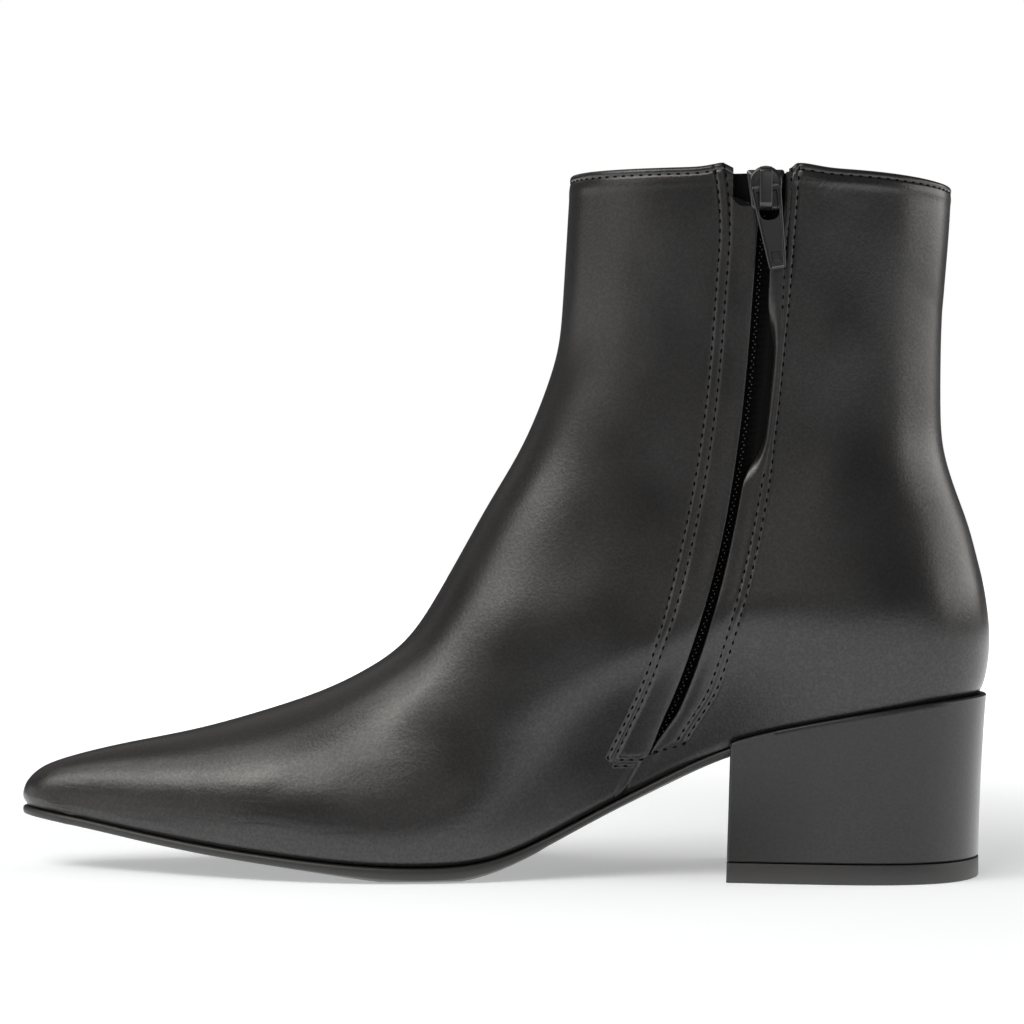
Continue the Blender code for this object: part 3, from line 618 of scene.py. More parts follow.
# Waves of the leather beside the zip: height, offset across the zip, half reach up and across, rise
WAVES = [
    (176.0, -26.0, 11.0, 7.0, 0.30),
    (150.0, -19.0, 13.0, 5.0, -0.25),
    (128.0, -24.0, 15.0, 7.0, 0.25),
    (104.0, -20.0, 12.0, 6.0, -0.25),
    (84.0, -26.0, 14.0, 8.0, 0.25),
    (168.0, 19.0, 12.0, 6.0, -0.25),
    (146.0, 24.0, 13.0, 7.0, 0.25),
    (120.0, 18.0, 14.0, 6.0, -0.20),
    (96.0, 22.0, 12.0, 7.0, 0.20),
    (189.0, 12.5, 2.6, 1.1, 0.20),
    (187.8, 15.0, 2.4, 1.2, 0.22),
    (188.4, 17.8, 2.6, 1.2, 0.20),
    (187.4, 20.8, 2.4, 1.4, 0.18),
    (186.0, 25.0, 3.0, 2.0, 0.16),
]
# Mesh lines beside the slot, as distances from the zip's centre line
FRONT_SEAM = (8.3, 8.4, 8.5, 8.6, 8.7, 8.82, 9.0, 9.3, 9.7, 10.2, 10.6, 10.9, 11.1, 11.3, 11.5, 11.75, 12.2,
              12.9, 13.8)
BACK_SEAM = (6.0, 6.15, 6.3, 6.5, 6.7, 6.9, 7.2, 7.5, 7.9, 8.2, 8.45, 8.7, 8.95, 9.3, 9.8, 10.5, 11.4)
# Mesh: columns of each field, rows as stretches of loop numbers (from, to, count), the point that tells
# which way the normals face, room kept inside the front ridge, rings and rise of the rolled rim
SLOT_COLUMNS = 34
FRONT_FIELD = 58
BACK_FIELD = 36
OUTER_FIELD = 78
FINE_STEPS = 150
LOOP_ROWS = ((0, 3, 43), (3, 19, 86), (19, 19.4, 6), (19.4, 19.95, 20))
FIELD_EASE = 1.3
PROBE_ROW = 60
PROBE_COLUMN = 10
RIDGE_ROOM = 0.004
RIM_STEPS = 7
RIM_RISE = 0.7
# Lines beside the zip: flare round the slider, room given to the rolled facing, closing up at the foot.
# A triple is an amount with the height where it starts and its run
FLARE_NEAR = 0.9
FLARE_FAR = 2.1
FLARE_SPREAD = 0.4
FLARE_FROM = 172.0
FLARE_RUN = 22.0
FLARE_MOST = 1.1
GIVE_NEAR = 0.7
GIVE_LOSS = 1.1
GIVE_SPREAD = 2.0
FRONT_CLOSE = (0.9, 88.0, 40.0)
FRONT_CLOSE_SPREAD = 2.6
BACK_CLOSE = (2.1, 54.0, 16.0)
LOOSE_FOOT = 107.0
LOOSE_CLOSE = 15.0
LOOSE_TOP = 142.0
LOOSE_RUN_UP = 13.0
# Stitching at the zip's foot: level rows (height, start, end) and a tail (height, offset)
FOOT_ROWS = ((31.4, -10.4, -4.0), (33.1, -8.6, -1.8))
FOOT_TAIL = ((38.6, 6.8), (37.3, 5.9), (36.2, 3.2), (35.1, -0.2))
# Relief of the leather: depth or height first, then its place and spread in millimetres
UNEVEN = ((0.06, 9.0, 13.0, 0.0), (0.05, 6.2, -7.1, 1.3), (0.05, 17.0, 5.3, 0.4))
BANK_SHARE = 0.35
BANK_SPREAD = 2.2
SKIVE = (0.22, 0.4)
NEAR_GROOVE = (0.17, 0.28)
FAR_GROOVE = (0.25, 0.30)
SEAM_PAD = (0.15, 0.8)
SEAM_BANK = (0.05, 1.1, 0.7)
FRONT_SEAM_FOOT = (1.0, 32.0, 1.6)
BACK_SEAM_FOOT = (1.0, 37.0, 3.0)
ROLLED_SEAM = 0.6
FOOT_GROOVE = (0.2, 0.36)
FOOT_FADE = 0.5
LAP_START = 0.6
LAP_LEAN = 0.55
LAP_STEP = (0.34, 38.0, 3.0)
LAP_SHARP = 0.4
LAP_FADE = 4.0
LAP_GROOVE = (0.16, -2.1, 0.3)
LAP_GROOVE_TOP = (1.0, 31.6, 1.0)
LAP_TOP = 36.0
FEATHER_TUCK = 0.7
FEATHER_RUN = 3.2
RIM_PAD = (0.12, 1.2, 0.7)
TOPLINE_GROOVE = (0.28, TOPLINE_DEPTH, 0.32)
GATHER = (0.7, 20.0, 12.0)
GATHER_LEAST = 0.3
PEAK_RISE = (1.1, 18.6, 1.4)
PEAKS = ((-11.0, 5.0), (9.0, 6.0))
CORNER_DROP = (1.3, 18.8, 1.2)
CORNER_RUN = (0.45, 2.4)
BULGE = (0.42, 4.3, 1.5)
# Ends of the front facing and of the slot under it
FACING_TOP = 183.4
FACING_FOOT = 33.4
SLOT_OVERLAP = 1.1
SLOT_END_RISE = 3.4
# Patches of fine wrinkles on the inner side: middle (x, z), half reach along and up, strength
WRINKLES = [
    (-52.0, 35.0, 9.0, 6.0, 0.55),
    (-36.0, 40.0, 9.0, 7.0, 0.30),
    (-12.0, 58.0, 8.0, 10.0, 0.30),
    (12.0, 58.0, 6.0, 9.0, 0.25),
    (93.0, 190.0, 10.0, 2.6, 1.90),
    (50.0, 190.0, 12.0, 1.8, 0.45),
    (106.0, 164.0, 14.0, 12.0, 0.25),
]


def loose(z):
    """How far the back facing has rolled in away from the coil: 1 in the middle, fading below and above."""
    return smoothstep((z - LOOSE_FOOT) / LOOSE_CLOSE) * bell(np.maximum(z - LOOSE_TOP, 0) / LOOSE_RUN_UP)


def seam_offset(z, base):
    """Offset from the zip's centre line of a line beside it.

    Under the collar the front lines flare out round the slider. Where the back facing rolls in, the back ones
    give way to it, the nearest most. Towards the zip's foot the lines close up.
    """
    flare = FLARE_NEAR + FLARE_FAR * smoothstep((-base - SLOT_FRONT) / FLARE_SPREAD)
    flare = flare * np.clip((z - FLARE_FROM) / FLARE_RUN, 0, FLARE_MOST) ** 2
    close = below(z, FRONT_CLOSE) * smoothstep((FRONT_ROWS[0] - base) / FRONT_CLOSE_SPREAD)
    give = GIVE_NEAR - GIVE_LOSS * smoothstep((base - BACK_ROWS[0]) / GIVE_SPREAD)
    behind = (give * loose(z) - below(z, BACK_CLOSE)) * smoothstep(base / SLOT_BACK)
    return base + np.where(base < 0, close - flare, behind)


def slot_end(offset):
    """Height at which the slot ends below: level in front of the coil, rising behind it along the tail."""
    return FACING_FOOT + SLOT_OVERLAP + SLOT_END_RISE * smoothstep(offset / SLOT_BACK)


def lap_edge(z):
    """Offset of the edge by which the front panel laps the back one below the zip."""
    return -LAP_START - LAP_LEAN * np.maximum(LAP_TOP - z, 0)


def shares_beside_zip(loops, bases):
    """Shares along each loop at which it crosses lines beside the zip: a row a loop, a column a line."""
    share = np.linspace(0.02, 0.9, 400)
    x, z = loop_point(share[None, :], loops[:, None])
    across = zip_offset(x, z)
    crossings = [[np.interp(0, -row, share) for row in across - seam_offset(z, base)] for base in bases]
    return np.array(crossings).T


def side_field(start, end, loops, side, places):
    """Points of one side between two shares of each loop, at places from 0 to 1 of the way, by length.

    Each loop is walked in fine steps, close together at its ends. A step that strays over the front ridge
    is left out. Shares 0 and 1 lie on the back and front ridges, in the boot's middle.
    """
    fine = (1 - np.cos(np.pi * np.linspace(0, 1, FINE_STEPS + 1))) / 2
    share = start[:, None] + (end - start)[:, None] * fine
    x, z = loop_point(share, loops[:, None])
    on_ridge = np.isclose(share, 0) | np.isclose(share, 1)
    y = np.where(on_ridge, middle(x, z), wall_y(x, z, side))
    keep = on_ridge | (front_gap(x, z)[0] > RIDGE_ROOM)
    field = []
    for line, kept in zip(np.stack([x, y, z], axis=-1), keep):
        length = run_length(line[kept])
        field.append(at_length(places * length[-1], length, line[kept]))
    return np.stack(field)


def crease_depth(x, z, side):
    """Sum of the listed creases: each a bell-shaped trough with soft banks, fading to its ends."""
    total = np.zeros_like(x)
    for cx, cz, crease_side, lie, length, width, depth in CREASES:
        if crease_side != side:
            continue
        lean = np.radians(lie)
        along = (x - cx) * np.cos(lean) + (z - cz) * np.sin(lean)
        across = (z - cz) * np.cos(lean) - (x - cx) * np.sin(lean)
        section = bell(across / width) - BANK_SHARE * bell(across / (BANK_SPREAD * width))
        total -= depth * bell(along / length) * section
    return total


def unevenness(x, z):
    """Slow unevenness of hand-lasted leather: a few crossing waves 30 to 70 mm long, about 0.1 mm high."""
    return sum(high * np.sin(x / along + z / up + shift) for high, along, up, shift in UNEVEN)


def seam_section(across, edge, rows):
    """Height across a stitched seam: edge skived down, a groove under each row, a soft pad between them."""
    near, far = rows
    depth, room = SKIVE
    height = -depth * (1 - smoothstep((across - edge) / (near - edge + room)))
    for row, (groove, spread) in ((near, NEAR_GROOVE), (far, FAR_GROOVE)):
        height = height - groove * bell((across - row) / spread)
    rise, spread = SEAM_PAD
    return height + rise * bell((across - (near + far) / 2) / spread) + hump(across - far, SEAM_BANK)


def foot_section(z, base):
    """Height below the zip: two level stitch rows, and the front panel's edge lapping the back panel."""
    height = np.zeros_like(z)
    depth, spread = FOOT_GROOVE
    for row_z, start, end in FOOT_ROWS:
        inside = smoothstep((base - start) / FOOT_FADE + 1) * smoothstep((end - base) / FOOT_FADE + 1)
        height -= depth * bell((z - row_z) / spread) * inside
    behind = base - lap_edge(z)
    step = smoothstep(behind / LAP_SHARP + 0.5) * bell(np.maximum(behind, 0) / LAP_FADE)
    height -= step * below(z, LAP_STEP)
    return height - hump(behind, LAP_GROOVE) * below(z, LAP_GROOVE_TOP)


def upper_relief(points, offset, loops, base, on_outer):
    """Height of the leather over the last: unevenness, creases, seams, waves, rim and the bulge under it."""
    x = points[..., 0]
    z = points[..., 2]
    relief = unevenness(x, z)
    over = z - station("feather", x)
    relief -= FEATHER_TUCK * np.clip(1 - over / FEATHER_RUN, 0, 1) ** 2
    for side, cols in (("inner", ~on_outer), ("outer", on_outer)):
        relief[:, cols] += crease_depth(x[:, cols], z[:, cols], side)
    front = slice(0, len(FRONT_SEAM))
    seam_up = above(z[:, front], FRONT_SEAM_FOOT)
    relief[:, front] += seam_section(-base[front], SLOT_FRONT, np.abs(FRONT_ROWS)) * seam_up
    back = slice(-SLOT_COLUMNS - len(BACK_SEAM), -SLOT_COLUMNS)
    seam_up = above(z[:, back], BACK_SEAM_FOOT)
    seam_up *= 1 - ROLLED_SEAM * loose(z[:, back]) * (base[back] < sum(BACK_ROWS) / 2)
    relief[:, back] += seam_section(base[back], SLOT_BACK, BACK_ROWS) * seam_up
    near = ~np.isnan(base)
    relief[:, near] += foot_section(z[:, near], base[near])
    waves = sum(rise * bell((z - wave_z) / up) * bell((offset - wave_offset) / across)
                for wave_z, wave_offset, up, across, rise in WAVES)
    relief += np.where(on_outer, 0, waves)
    depth = rim_depth(loops)[:, None]
    relief += hump(depth, RIM_PAD) - hump(depth, TOPLINE_GROOVE)
    gather = np.where(on_outer, GATHER_LEAST, GATHER_LEAST + hump(offset, GATHER))
    return relief + gather * hump(depth, BULGE)


def upper_field():
    """Outer face of the upper on a grid that closes round: points, normals, loops, each column's base line.

    Columns run from the slot's front edge over the toe, along the outer side, round the heel and back across
    the slot. Beside the slot they keep their distance to the zip, so that the seams run along them.
    """
    loops = np.concatenate([np.linspace(*stretch)[:-1] for stretch in LOOP_ROWS] + [[LOOP_ROWS[-1][1]]])
    one = np.ones_like(loops)
    lines = np.concatenate([-np.array(FRONT_SEAM), np.array(BACK_SEAM)[::-1],
                            np.linspace(SLOT_BACK, -SLOT_FRONT, SLOT_COLUMNS + 2)[1:-1]])
    share = shares_beside_zip(loops, lines)
    x, z = loop_point(share, loops[:, None])
    beside = np.stack([x, wall_y(x, z, "inner"), z], axis=-1)
    fore = len(FRONT_SEAM)
    ahead = 1 - (1 - np.linspace(0, 1, FRONT_FIELD)) ** FIELD_EASE
    around = (1 - np.cos(np.pi * np.linspace(0, 1, OUTER_FIELD))) / 2
    home = np.linspace(0, 1, BACK_FIELD) ** FIELD_EASE
    front = side_field(share[:, fore - 1], one, loops, "inner", ahead[1:])
    outer = side_field(one, 0 * one, loops, "outer", around[1:])
    back = side_field(0 * one, share[:, fore], loops, "inner", home[1:-1])
    points = np.concatenate([beside[:, :fore], front, outer, back, beside[:, fore:]], axis=1)
    base = np.full(points.shape[1], np.nan)
    base[:fore] = lines[:fore]
    base[fore - len(lines):] = lines[fore:]
    on_outer = np.zeros(points.shape[1], bool)
    on_outer[fore + FRONT_FIELD - 1:fore + FRONT_FIELD + OUTER_FIELD - 3] = True
    across = np.roll(points, -1, axis=1) - np.roll(points, 1, axis=1)
    normal = unit(np.cross(across, np.gradient(points, axis=0)))
    normal *= -np.sign(normal[PROBE_ROW, fore + PROBE_COLUMN, 1])
    offset = zip_offset(points[..., 0], points[..., 2])
    points = points + normal * upper_relief(points, offset, loops, base, on_outer)[..., None]
    peaks = sum(bell((offset - place) / spread) for place, spread in PEAKS)
    points[..., 2] += np.where(on_outer, 0, above(loops[:, None], PEAK_RISE) * peaks)
    from_edge = np.where(base < 0, (-base - SLOT_FRONT) / CORNER_RUN[0], (base - SLOT_BACK) / CORNER_RUN[1])
    corner = (1 - smoothstep(from_edge)) * above(loops[:, None], CORNER_DROP)
    points[..., 2] -= np.where(np.isnan(base), 0, corner)
    return points, normal, loops, base


def make_upper():
    """The leather wall as one closed shell: outer face, rolled collar rim, lining, closed round the slot."""
    outer, normal, loops, base = upper_field()
    rows, cols, _ = outer.shape
    lining = outer - normal * WALL
    upward = unit(outer[-1] - outer[-3])
    turn = np.pi * np.arange(1, RIM_STEPS)[:, None, None] / RIM_STEPS
    rim = outer[-1] - normal[-1] * (WALL / 2) * (1 - np.cos(turn)) + upward * RIM_RISE * np.sin(turn)
    sheet = np.concatenate([outer, rim, lining[::-1]])
    total = len(sheet)
    slot_col = cols - SLOT_COLUMNS - 1
    c = np.arange(slot_col, cols)
    after = (c + 1) % cols
    end = slot_end((base[c] + base[after]) / 2)
    low_row = np.argmax((outer[:, c, 2] + outer[:, after, 2]) / 2 >= end, axis=0)
    i = np.repeat(np.arange(total), cols)
    j = np.tile(np.arange(cols), total)
    first_row = low_row[np.maximum(j - slot_col, 0)]
    cut = (j >= slot_col) & (i >= first_row) & (i < total - 1 - first_row)
    faces = grid_faces(total, cols, wrap_rows=True, wrap_cols=True)[~cut].tolist()
    kinds = ((i >= rows + RIM_STEPS // 2) & (i < total - 1))[~cut].astype(int).tolist()
    steps = [(0, low_row[-1], rows - 1), (slot_col, low_row[0], rows - 1)]
    steps += [(line, *sorted(ends)) for line, *ends in zip(after[:-1], low_row[:-1], low_row[1:])]
    for line, low, high in steps:
        r = np.arange(low, high)
        front = r * cols + line
        back = (total - 1 - r) * cols + line
        faces += quads(front, front + cols, back - cols, back)
    for line in (0, slot_col):
        faces.append([(rows - 1 + k) * cols + line for k in range(RIM_STEPS + 1)])
    low = low_row * cols
    high = (total - 1 - low_row) * cols
    faces += quads(low + c, low + after, high + after, high + c)
    kinds += [0] * (len(faces) - len(kinds))
    wrinkled = np.zeros(sheet.shape[:2])
    x, y, z = np.moveaxis(outer, -1, 0)
    inner = y < middle(x, z)
    for place_x, place_z, along, up, strength in WRINKLES:
        wrinkled[:rows] += strength * bell((x - place_x) / along) * bell((z - place_z) / up) * inner
    put("calf_upper", sheet, faces, [CALF, LINING], kinds, node=["upper"], slot="black_calf",
        wrinkled=wrinkled)
    return outer, normal, loops, base


# Stitches: a bead's tips, how proud it stands and how it dips; lower ends of the rows beside the zip; how
# far the facing rolls before the row beside it is out of view; columns where the row under the collar ends
STITCH_TIP = 0.02
STITCH_PROUD = 0.02
STITCH_DIP = 0.2
AHEAD_STEP = 0.3
ROW_FEET = (34.4, 32.6, 37.6, 36.4)
OUT_OF_VIEW = 0.4
TOPLINE_ENDS = (12.2, 9.3)
FOOT_POINTS = 20
FOOT_LIFT = -0.12


def resampled(points, normals, pitch):
    """Points, normals and directions at an even pitch along a line."""
    length = run_length(points)
    at = np.arange(pitch / 2, length[-1], pitch)
    ahead = at_length(at + AHEAD_STEP, length, points) - at_length(at - AHEAD_STEP, length, points)
    return at_length(at, length, points), unit(at_length(at, length, normals)), unit(ahead)


def ringed(centre, across, up, thick, around):
    """Rings of points about rows of centres, in each row's own directions, at angles round them."""
    ring = across[:, None, None] * np.cos(around)[:, None] + up[:, None, None] * np.sin(around)[:, None]
    return centre[:, :, None] + ring * thick[..., None, None]


def make_stitches(name, lines):
    """Thread along lines of points and normals: each stitch a bead that dips into the leather at its ends."""
    around = np.linspace(0, 2 * np.pi, 7)[:-1]
    along = np.linspace(-1, 1, 7)
    thick = THREAD_RADIUS * np.sqrt(np.maximum(1 - np.abs(along) ** 3.0, STITCH_TIP))
    dip = STITCH_PROUD - STITCH_DIP * along ** 2
    points = []
    for line, normals in lines:
        place, up, ahead = resampled(line, normals, STITCH_PITCH)
        run = ahead[:, None] * (along * STITCH_LENGTH / 2)[:, None]
        centre = place[:, None] + run + up[:, None] * dip[:, None]
        points.append(ringed(centre, unit(np.cross(ahead, up)), up, thick, around))
    points = np.concatenate(points)
    faces = bead_faces(len(points), len(along), len(around))
    put(name, points, faces, [THREAD_AND_LEG_SHADE], slot="black_calf", sharp=0)


def make_seams(outer, normal, loops, base):
    """Rows of thread beside the zip, across its lower end with a tail there, and under the collar."""
    lines = []
    for row, low in zip(FRONT_ROWS + BACK_ROWS, ROW_FEET):
        col = int(np.nanargmin(np.abs(base - row)))
        z = outer[:, col, 2]
        parts = [z > low]
        if row == BACK_ROWS[0]:
            in_view = parts[0] & (loose(z) < OUT_OF_VIEW)
            parts = [in_view & (z < LOOSE_TOP), in_view & (z > LOOSE_TOP)]
        lines += [(outer[part, col], normal[part, col]) for part in parts]
    rim_row = int(np.abs(rim_depth(loops) - TOPLINE_DEPTH).argmin())
    fore = FRONT_SEAM.index(TOPLINE_ENDS[0])
    rear = len(base) - SLOT_COLUMNS - BACK_SEAM.index(TOPLINE_ENDS[1])
    lines.append((outer[rim_row, fore:rear], normal[rim_row, fore:rear]))
    rows = [(np.full(FOOT_POINTS, z), np.linspace(*ends, FOOT_POINTS)) for z, *ends in FOOT_ROWS]
    places = np.arange(len(FOOT_TAIL))
    along = np.linspace(0, len(FOOT_TAIL) - 1, FOOT_POINTS)
    rows.append([spline(places, values, along) for values in np.array(FOOT_TAIL).T])
    for z, offset in rows:
        lines.append((zip_point(z, offset, FOOT_LIFT), unit(zip_outward(z, offset))))
    make_stitches("upper_stitches", lines)


# Zip

# Facings: lift of the face and of its root, and the root's run; where along the section the roll starts and
# its run; the crown and how it falls at the edge; ends; the fillet of the front one's top
FACE_LIFT = 0.06
ROOT_LIFT = -0.28
ROOT_RUN = 0.16
ROLL_FROM = 0.05
ROLL_RUN = 0.6
CROWN = 0.12
EDGE_FALL = (1.0, 0.8, 0.2)
FACING_STEPS = 22
NOSE_STEPS = 9
FACING_ROWS = 150
FACING_WRINKLES = 0.3
BACK_FACING_TOP = 192.6
BACK_FACING_FOOT = 33.8
FILLET = 3.0
FILLET_FROM = 5.6
FILLET_REACH = 3.6
FILLET_RUN = 6.0
# Edges of the facings and how they sink: an amount, then its middle or the height where it starts, its run
FRONT_SWELL = (0.3, 95.0, 18.0)
FRONT_FOOT = (0.7, 46.0, 12.0)
FRONT_SINK = (0.5, FACING_FOOT + 1.5, 1.5)
FRONT_RIPPLE = (0.07, -4.5, 3.0)
RIPPLE_RUN = 4.1
BACK_EASE = 0.2
BACK_FOOT = (2.0, 48.0, 13.0)
BACK_HEAD = (3.7, 171.0, 10.0)
BACK_SWELL = (1.1, 165.0, 11.0)
BACK_SINK = (0.55, 1.0, 1.2)
BACK_FOOT_SINK = (0.15, 46.0, 8.0)
ROLL_BACK = 2.9
ROLL_TURN = 1.5
ROLL_POWER = 1.2
LEAST_FACING = 0.3


def swept(name, z, section, materials, node, slot):
    """A solid along the zip: section gives its closed outline (offset, lift, rise) at a height, ends flat."""
    outline = np.stack([section(height) for height in z])
    height = z[:, None] + outline[..., 2]
    uneven = unevenness(zip_x(height) + outline[..., 0] * zip_slant(height), height)
    points = zip_point(height, outline[..., 0], outline[..., 1] + uneven)
    size = outline.shape[:2]
    put(name, points, tube_faces(*size), materials, node=node, slot=slot, sharp=55,
        wrinkled=np.full(size, FACING_WRINKLES))


def facing(root, width, bend, thick, side):
    """Section of a facing: out of its seam, across to a rounded fold, rolled inwards by an angle on the way.

    The middle line turns from level to the bend over its first part. Both faces lie half the thickness from
    it and meet in a half circle at the fold. side is 1 for a facing that runs backwards from its seam.
    """
    t = np.linspace(0, 1, FACING_STEPS)
    turn = -bend * smoothstep((t - ROLL_FROM) / ROLL_RUN)
    step = np.diff(t) * width
    middle_turn = (turn[1:] + turn[:-1]) / 2
    run = np.concatenate([[0], np.cumsum(step * np.cos(middle_turn))])
    up = np.concatenate([[0], np.cumsum(step * np.sin(middle_turn))])
    up += ROOT_LIFT + (FACE_LIFT - ROOT_LIFT) * smoothstep(t / ROOT_RUN) - thick / 2
    up += CROWN * np.sin(np.pi * t) ** 2 - CROWN * above(t, EDGE_FALL) ** 2 * np.cos(bend)
    line = np.column_stack([run, up])
    ahead = unit(np.gradient(line, axis=0))
    normal = np.column_stack([-ahead[:, 1], ahead[:, 0]])
    angle = np.linspace(0, np.pi, NOSE_STEPS)[1:-1, None]
    nose = line[-1] + thick / 2 * (normal[-1] * np.cos(angle) + ahead[-1] * np.sin(angle))
    outline = np.concatenate([line + normal * thick / 2, nose, (line - normal * thick / 2)[::-1]])
    return np.column_stack([root + side * outline[:, 0], outline[:, 1]])


def make_facings():
    """The two facings: the front one lies flat over the coil, the back one rolls in and leaves it in view."""
    def front(z):
        root = seam_offset(z, FRONT_ROWS[0])
        edge = -STRIP_GAP + hump(z, FRONT_SWELL) + below(z, FRONT_FOOT)
        offset, lift = facing(root, edge - root - STRIP_THICK / 2, 0.0, STRIP_THICK, 1.0).T
        lift = lift + hump(offset, FRONT_RIPPLE) * np.sin(z / RIPPLE_RUN) - below(z, FRONT_SINK)
        rise = FILLET * np.clip((-offset - FILLET_FROM) / FILLET_REACH, 0, 1) ** 2
        return np.column_stack([offset, lift, rise * smoothstep((z - FACING_TOP) / FILLET_RUN + 1)])

    def back(z):
        root = seam_offset(z, BACK_ROWS[0])
        edge = STRIP_GAP + BACK_EASE - below(z, BACK_FOOT) + above(z, BACK_HEAD) + hump(z, BACK_SWELL)
        width = np.maximum(root - edge - ROLL_BACK * loose(z) - STRIP_THICK / 2, LEAST_FACING)
        offset, lift = facing(root, width, ROLL_TURN * loose(z) ** ROLL_POWER, STRIP_THICK, -1.0).T
        amount, over, run = BACK_SINK
        sink = below(z, (amount, slot_end(offset) + over, run)) + below(z, BACK_FOOT_SINK)
        return np.column_stack([offset, lift - sink, np.zeros(len(offset))])

    swept("zip_front_facing", np.linspace(FACING_FOOT, FACING_TOP, FACING_ROWS), front, [CALF],
          ["zip_front_strip"], "black_calf")
    swept("zip_back_facing", np.linspace(BACK_FACING_FOOT, BACK_FACING_TOP, FACING_ROWS), back, [CALF],
          ["zip_back_strip"], "black_calf")


# Coil: lift and ends; heads past the centre line with their spread and rise; thickness of leg and head
COIL_LIFT = -2.2
COIL_FOOT = 0.4
COIL_ROOM = 1.0
LOOP_REACH = 0.57
LOOP_TIP = 0.03
LOOP_FLAT = 0.8
HEAD_PAST = 0.42
HEAD_SPREAD = 0.36
HEAD_HALF = 0.5
HEAD_RISE = 1.0
LEG_RADIUS = 0.26
HEAD_GAIN = 0.24


def make_coil():
    """Closed coil: rounded nylon loops from both sides in turn, each reaching past the centre line."""
    top = ZIP_TOP - SLIDER_DROP - SLIDER_LENGTH / 2 - COIL_ROOM
    z = np.arange(ZIP_END - COIL_FOOT, top, TOOTH_PITCH / 2)
    side = np.where(np.arange(len(z)) % 2 == 0, 1.0, -1.0)[:, None]
    along = np.linspace(-1, 1, 11)
    around = np.linspace(0, 2 * np.pi, 8)[:-1]
    half = (TEETH_WIDTH / 2 + LOOP_REACH) / 2
    offset = side * (TEETH_WIDTH / 2 - half) + along * half
    head = bell((offset * side + HEAD_PAST) / HEAD_SPREAD)
    thick = (LEG_RADIUS + HEAD_GAIN * head) * np.sqrt(np.maximum(1 - along ** 4, LOOP_TIP))
    centre = zip_point(z[:, None], offset, COIL_LIFT + HEAD_RISE * head)
    ahead = unit(zip_point(z + SLOPE_STEP, 0.0, 0.0) - zip_point(z - SLOPE_STEP, 0.0, 0.0))
    points = ringed(centre, ahead * LOOP_FLAT, unit(zip_outward(z)), thick, around)
    faces = bead_faces(len(z), len(along), len(around))
    # Painted shade: the legs get the near-black, matt thread finish instead of the coil's nylon, standing in
    # for the shade they lie in deep in the slot
    on_head = np.abs((offset[:, 1:] + offset[:, :-1]) / 2 * side + HEAD_PAST) < HEAD_HALF
    leg = np.column_stack([np.repeat(~on_head, len(around), axis=1), np.ones((len(z), 2), bool)])
    put("zip_coil", points, faces, [COIL, THREAD_AND_LEG_SHADE], leg.ravel(), node=["zip_teeth"], slot="zip_coil", sharp=0)


def slider_frame(lean):
    """Matrix at the tab's hinge, in millimetres: X across the zip, Y up the boot, Z out of its side."""
    hinge_z = ZIP_TOP - SLIDER_DROP
    hinge = zip_point(hinge_z, 0.0, SLIDER_TOP + BAR_ROOM)
    out = Vector(zip_outward(hinge_z))
    up = Vector((0, 0, 1))
    up = (up - out * up.dot(out)).normalized()
    turn = Matrix((up.cross(out), up, out)).transposed() @ Matrix.Rotation(np.radians(lean), 3, "Z")
    return np.array(hinge), np.array(turn)


def in_frame(points, lean):
    """Points of the slider's own frame in the boot's frame."""
    hinge, turn = slider_frame(lean)
    return hinge + np.asarray(points) @ turn.T


def rounded(corners, radius, count):
    """Closed outline through corners (x, y), each rounded by its own arc, with count points an arc."""
    corners = np.asarray(corners, float)
    before = unit(np.roll(corners, 1, axis=0) - corners)
    after = unit(np.roll(corners, -1, axis=0) - corners)
    half = np.arccos(np.clip((before * after).sum(axis=1), -1, 1)) / 2
    radius = np.broadcast_to(radius, len(corners))
    reach = radius / np.tan(half)
    centre = corners + unit(before + after) * (radius / np.sin(half))[:, None]
    start = corners + before * reach[:, None] - centre
    end = corners + after * reach[:, None] - centre
    t = np.linspace(0, 1, count)[None, :, None]
    arc = unit(start[:, None] * (1 - t) + end[:, None] * t) * radius[:, None, None]
    return (centre[:, None] + arc).reshape(-1, 2)


def inset(outline, amount):
    """A closed outline, run anticlockwise, moved inwards along its own normal."""
    ahead = unit(np.roll(outline, -1, axis=0) - np.roll(outline, 1, axis=0))
    return outline + np.column_stack([-ahead[:, 1], ahead[:, 0]]) * amount


# Slider: shape of plate and shield, then rings as inset and height, above the back and over the face
SLIDER_FOOT = 0.78
PLATE_WIDER = 0.3
PLATE_SHORTER = 0.6
SHIELD_LONGER = 0.3
PLATE_CORNERS = (0.8, 1.0, 1.0, 0.8)
SHIELD_CORNERS = (4.6, 1.4, 1.4, 4.6)
ARC_POINTS = 12
PLATE_LIFT = 0.1
PLATE_RINGS = ((0.25, 0.0), (0.0, 0.25), (0.0, 0.7), (0.2, 0.95))
SHIELD_RINGS = ((0.2, -1.15), (0.0, -0.9), (0.0, -0.5), (0.14, -0.22), (0.45, -0.06), (0.95, 0.0))
WAIST = 0.8
WAIST_ENDS = (1.0, -1.2)
FACE_SHARE = 0.5
FACE_CROWN = 0.04
BRIDGE_INSET = 0.75
BRIDGE_SUNK = 0.6
BRIDGE_CORNERS = (0.05, 1.1, 1.1, 0.05)
BRIDGE_ARC = 9
BRIDGE_ROUND = 0.35


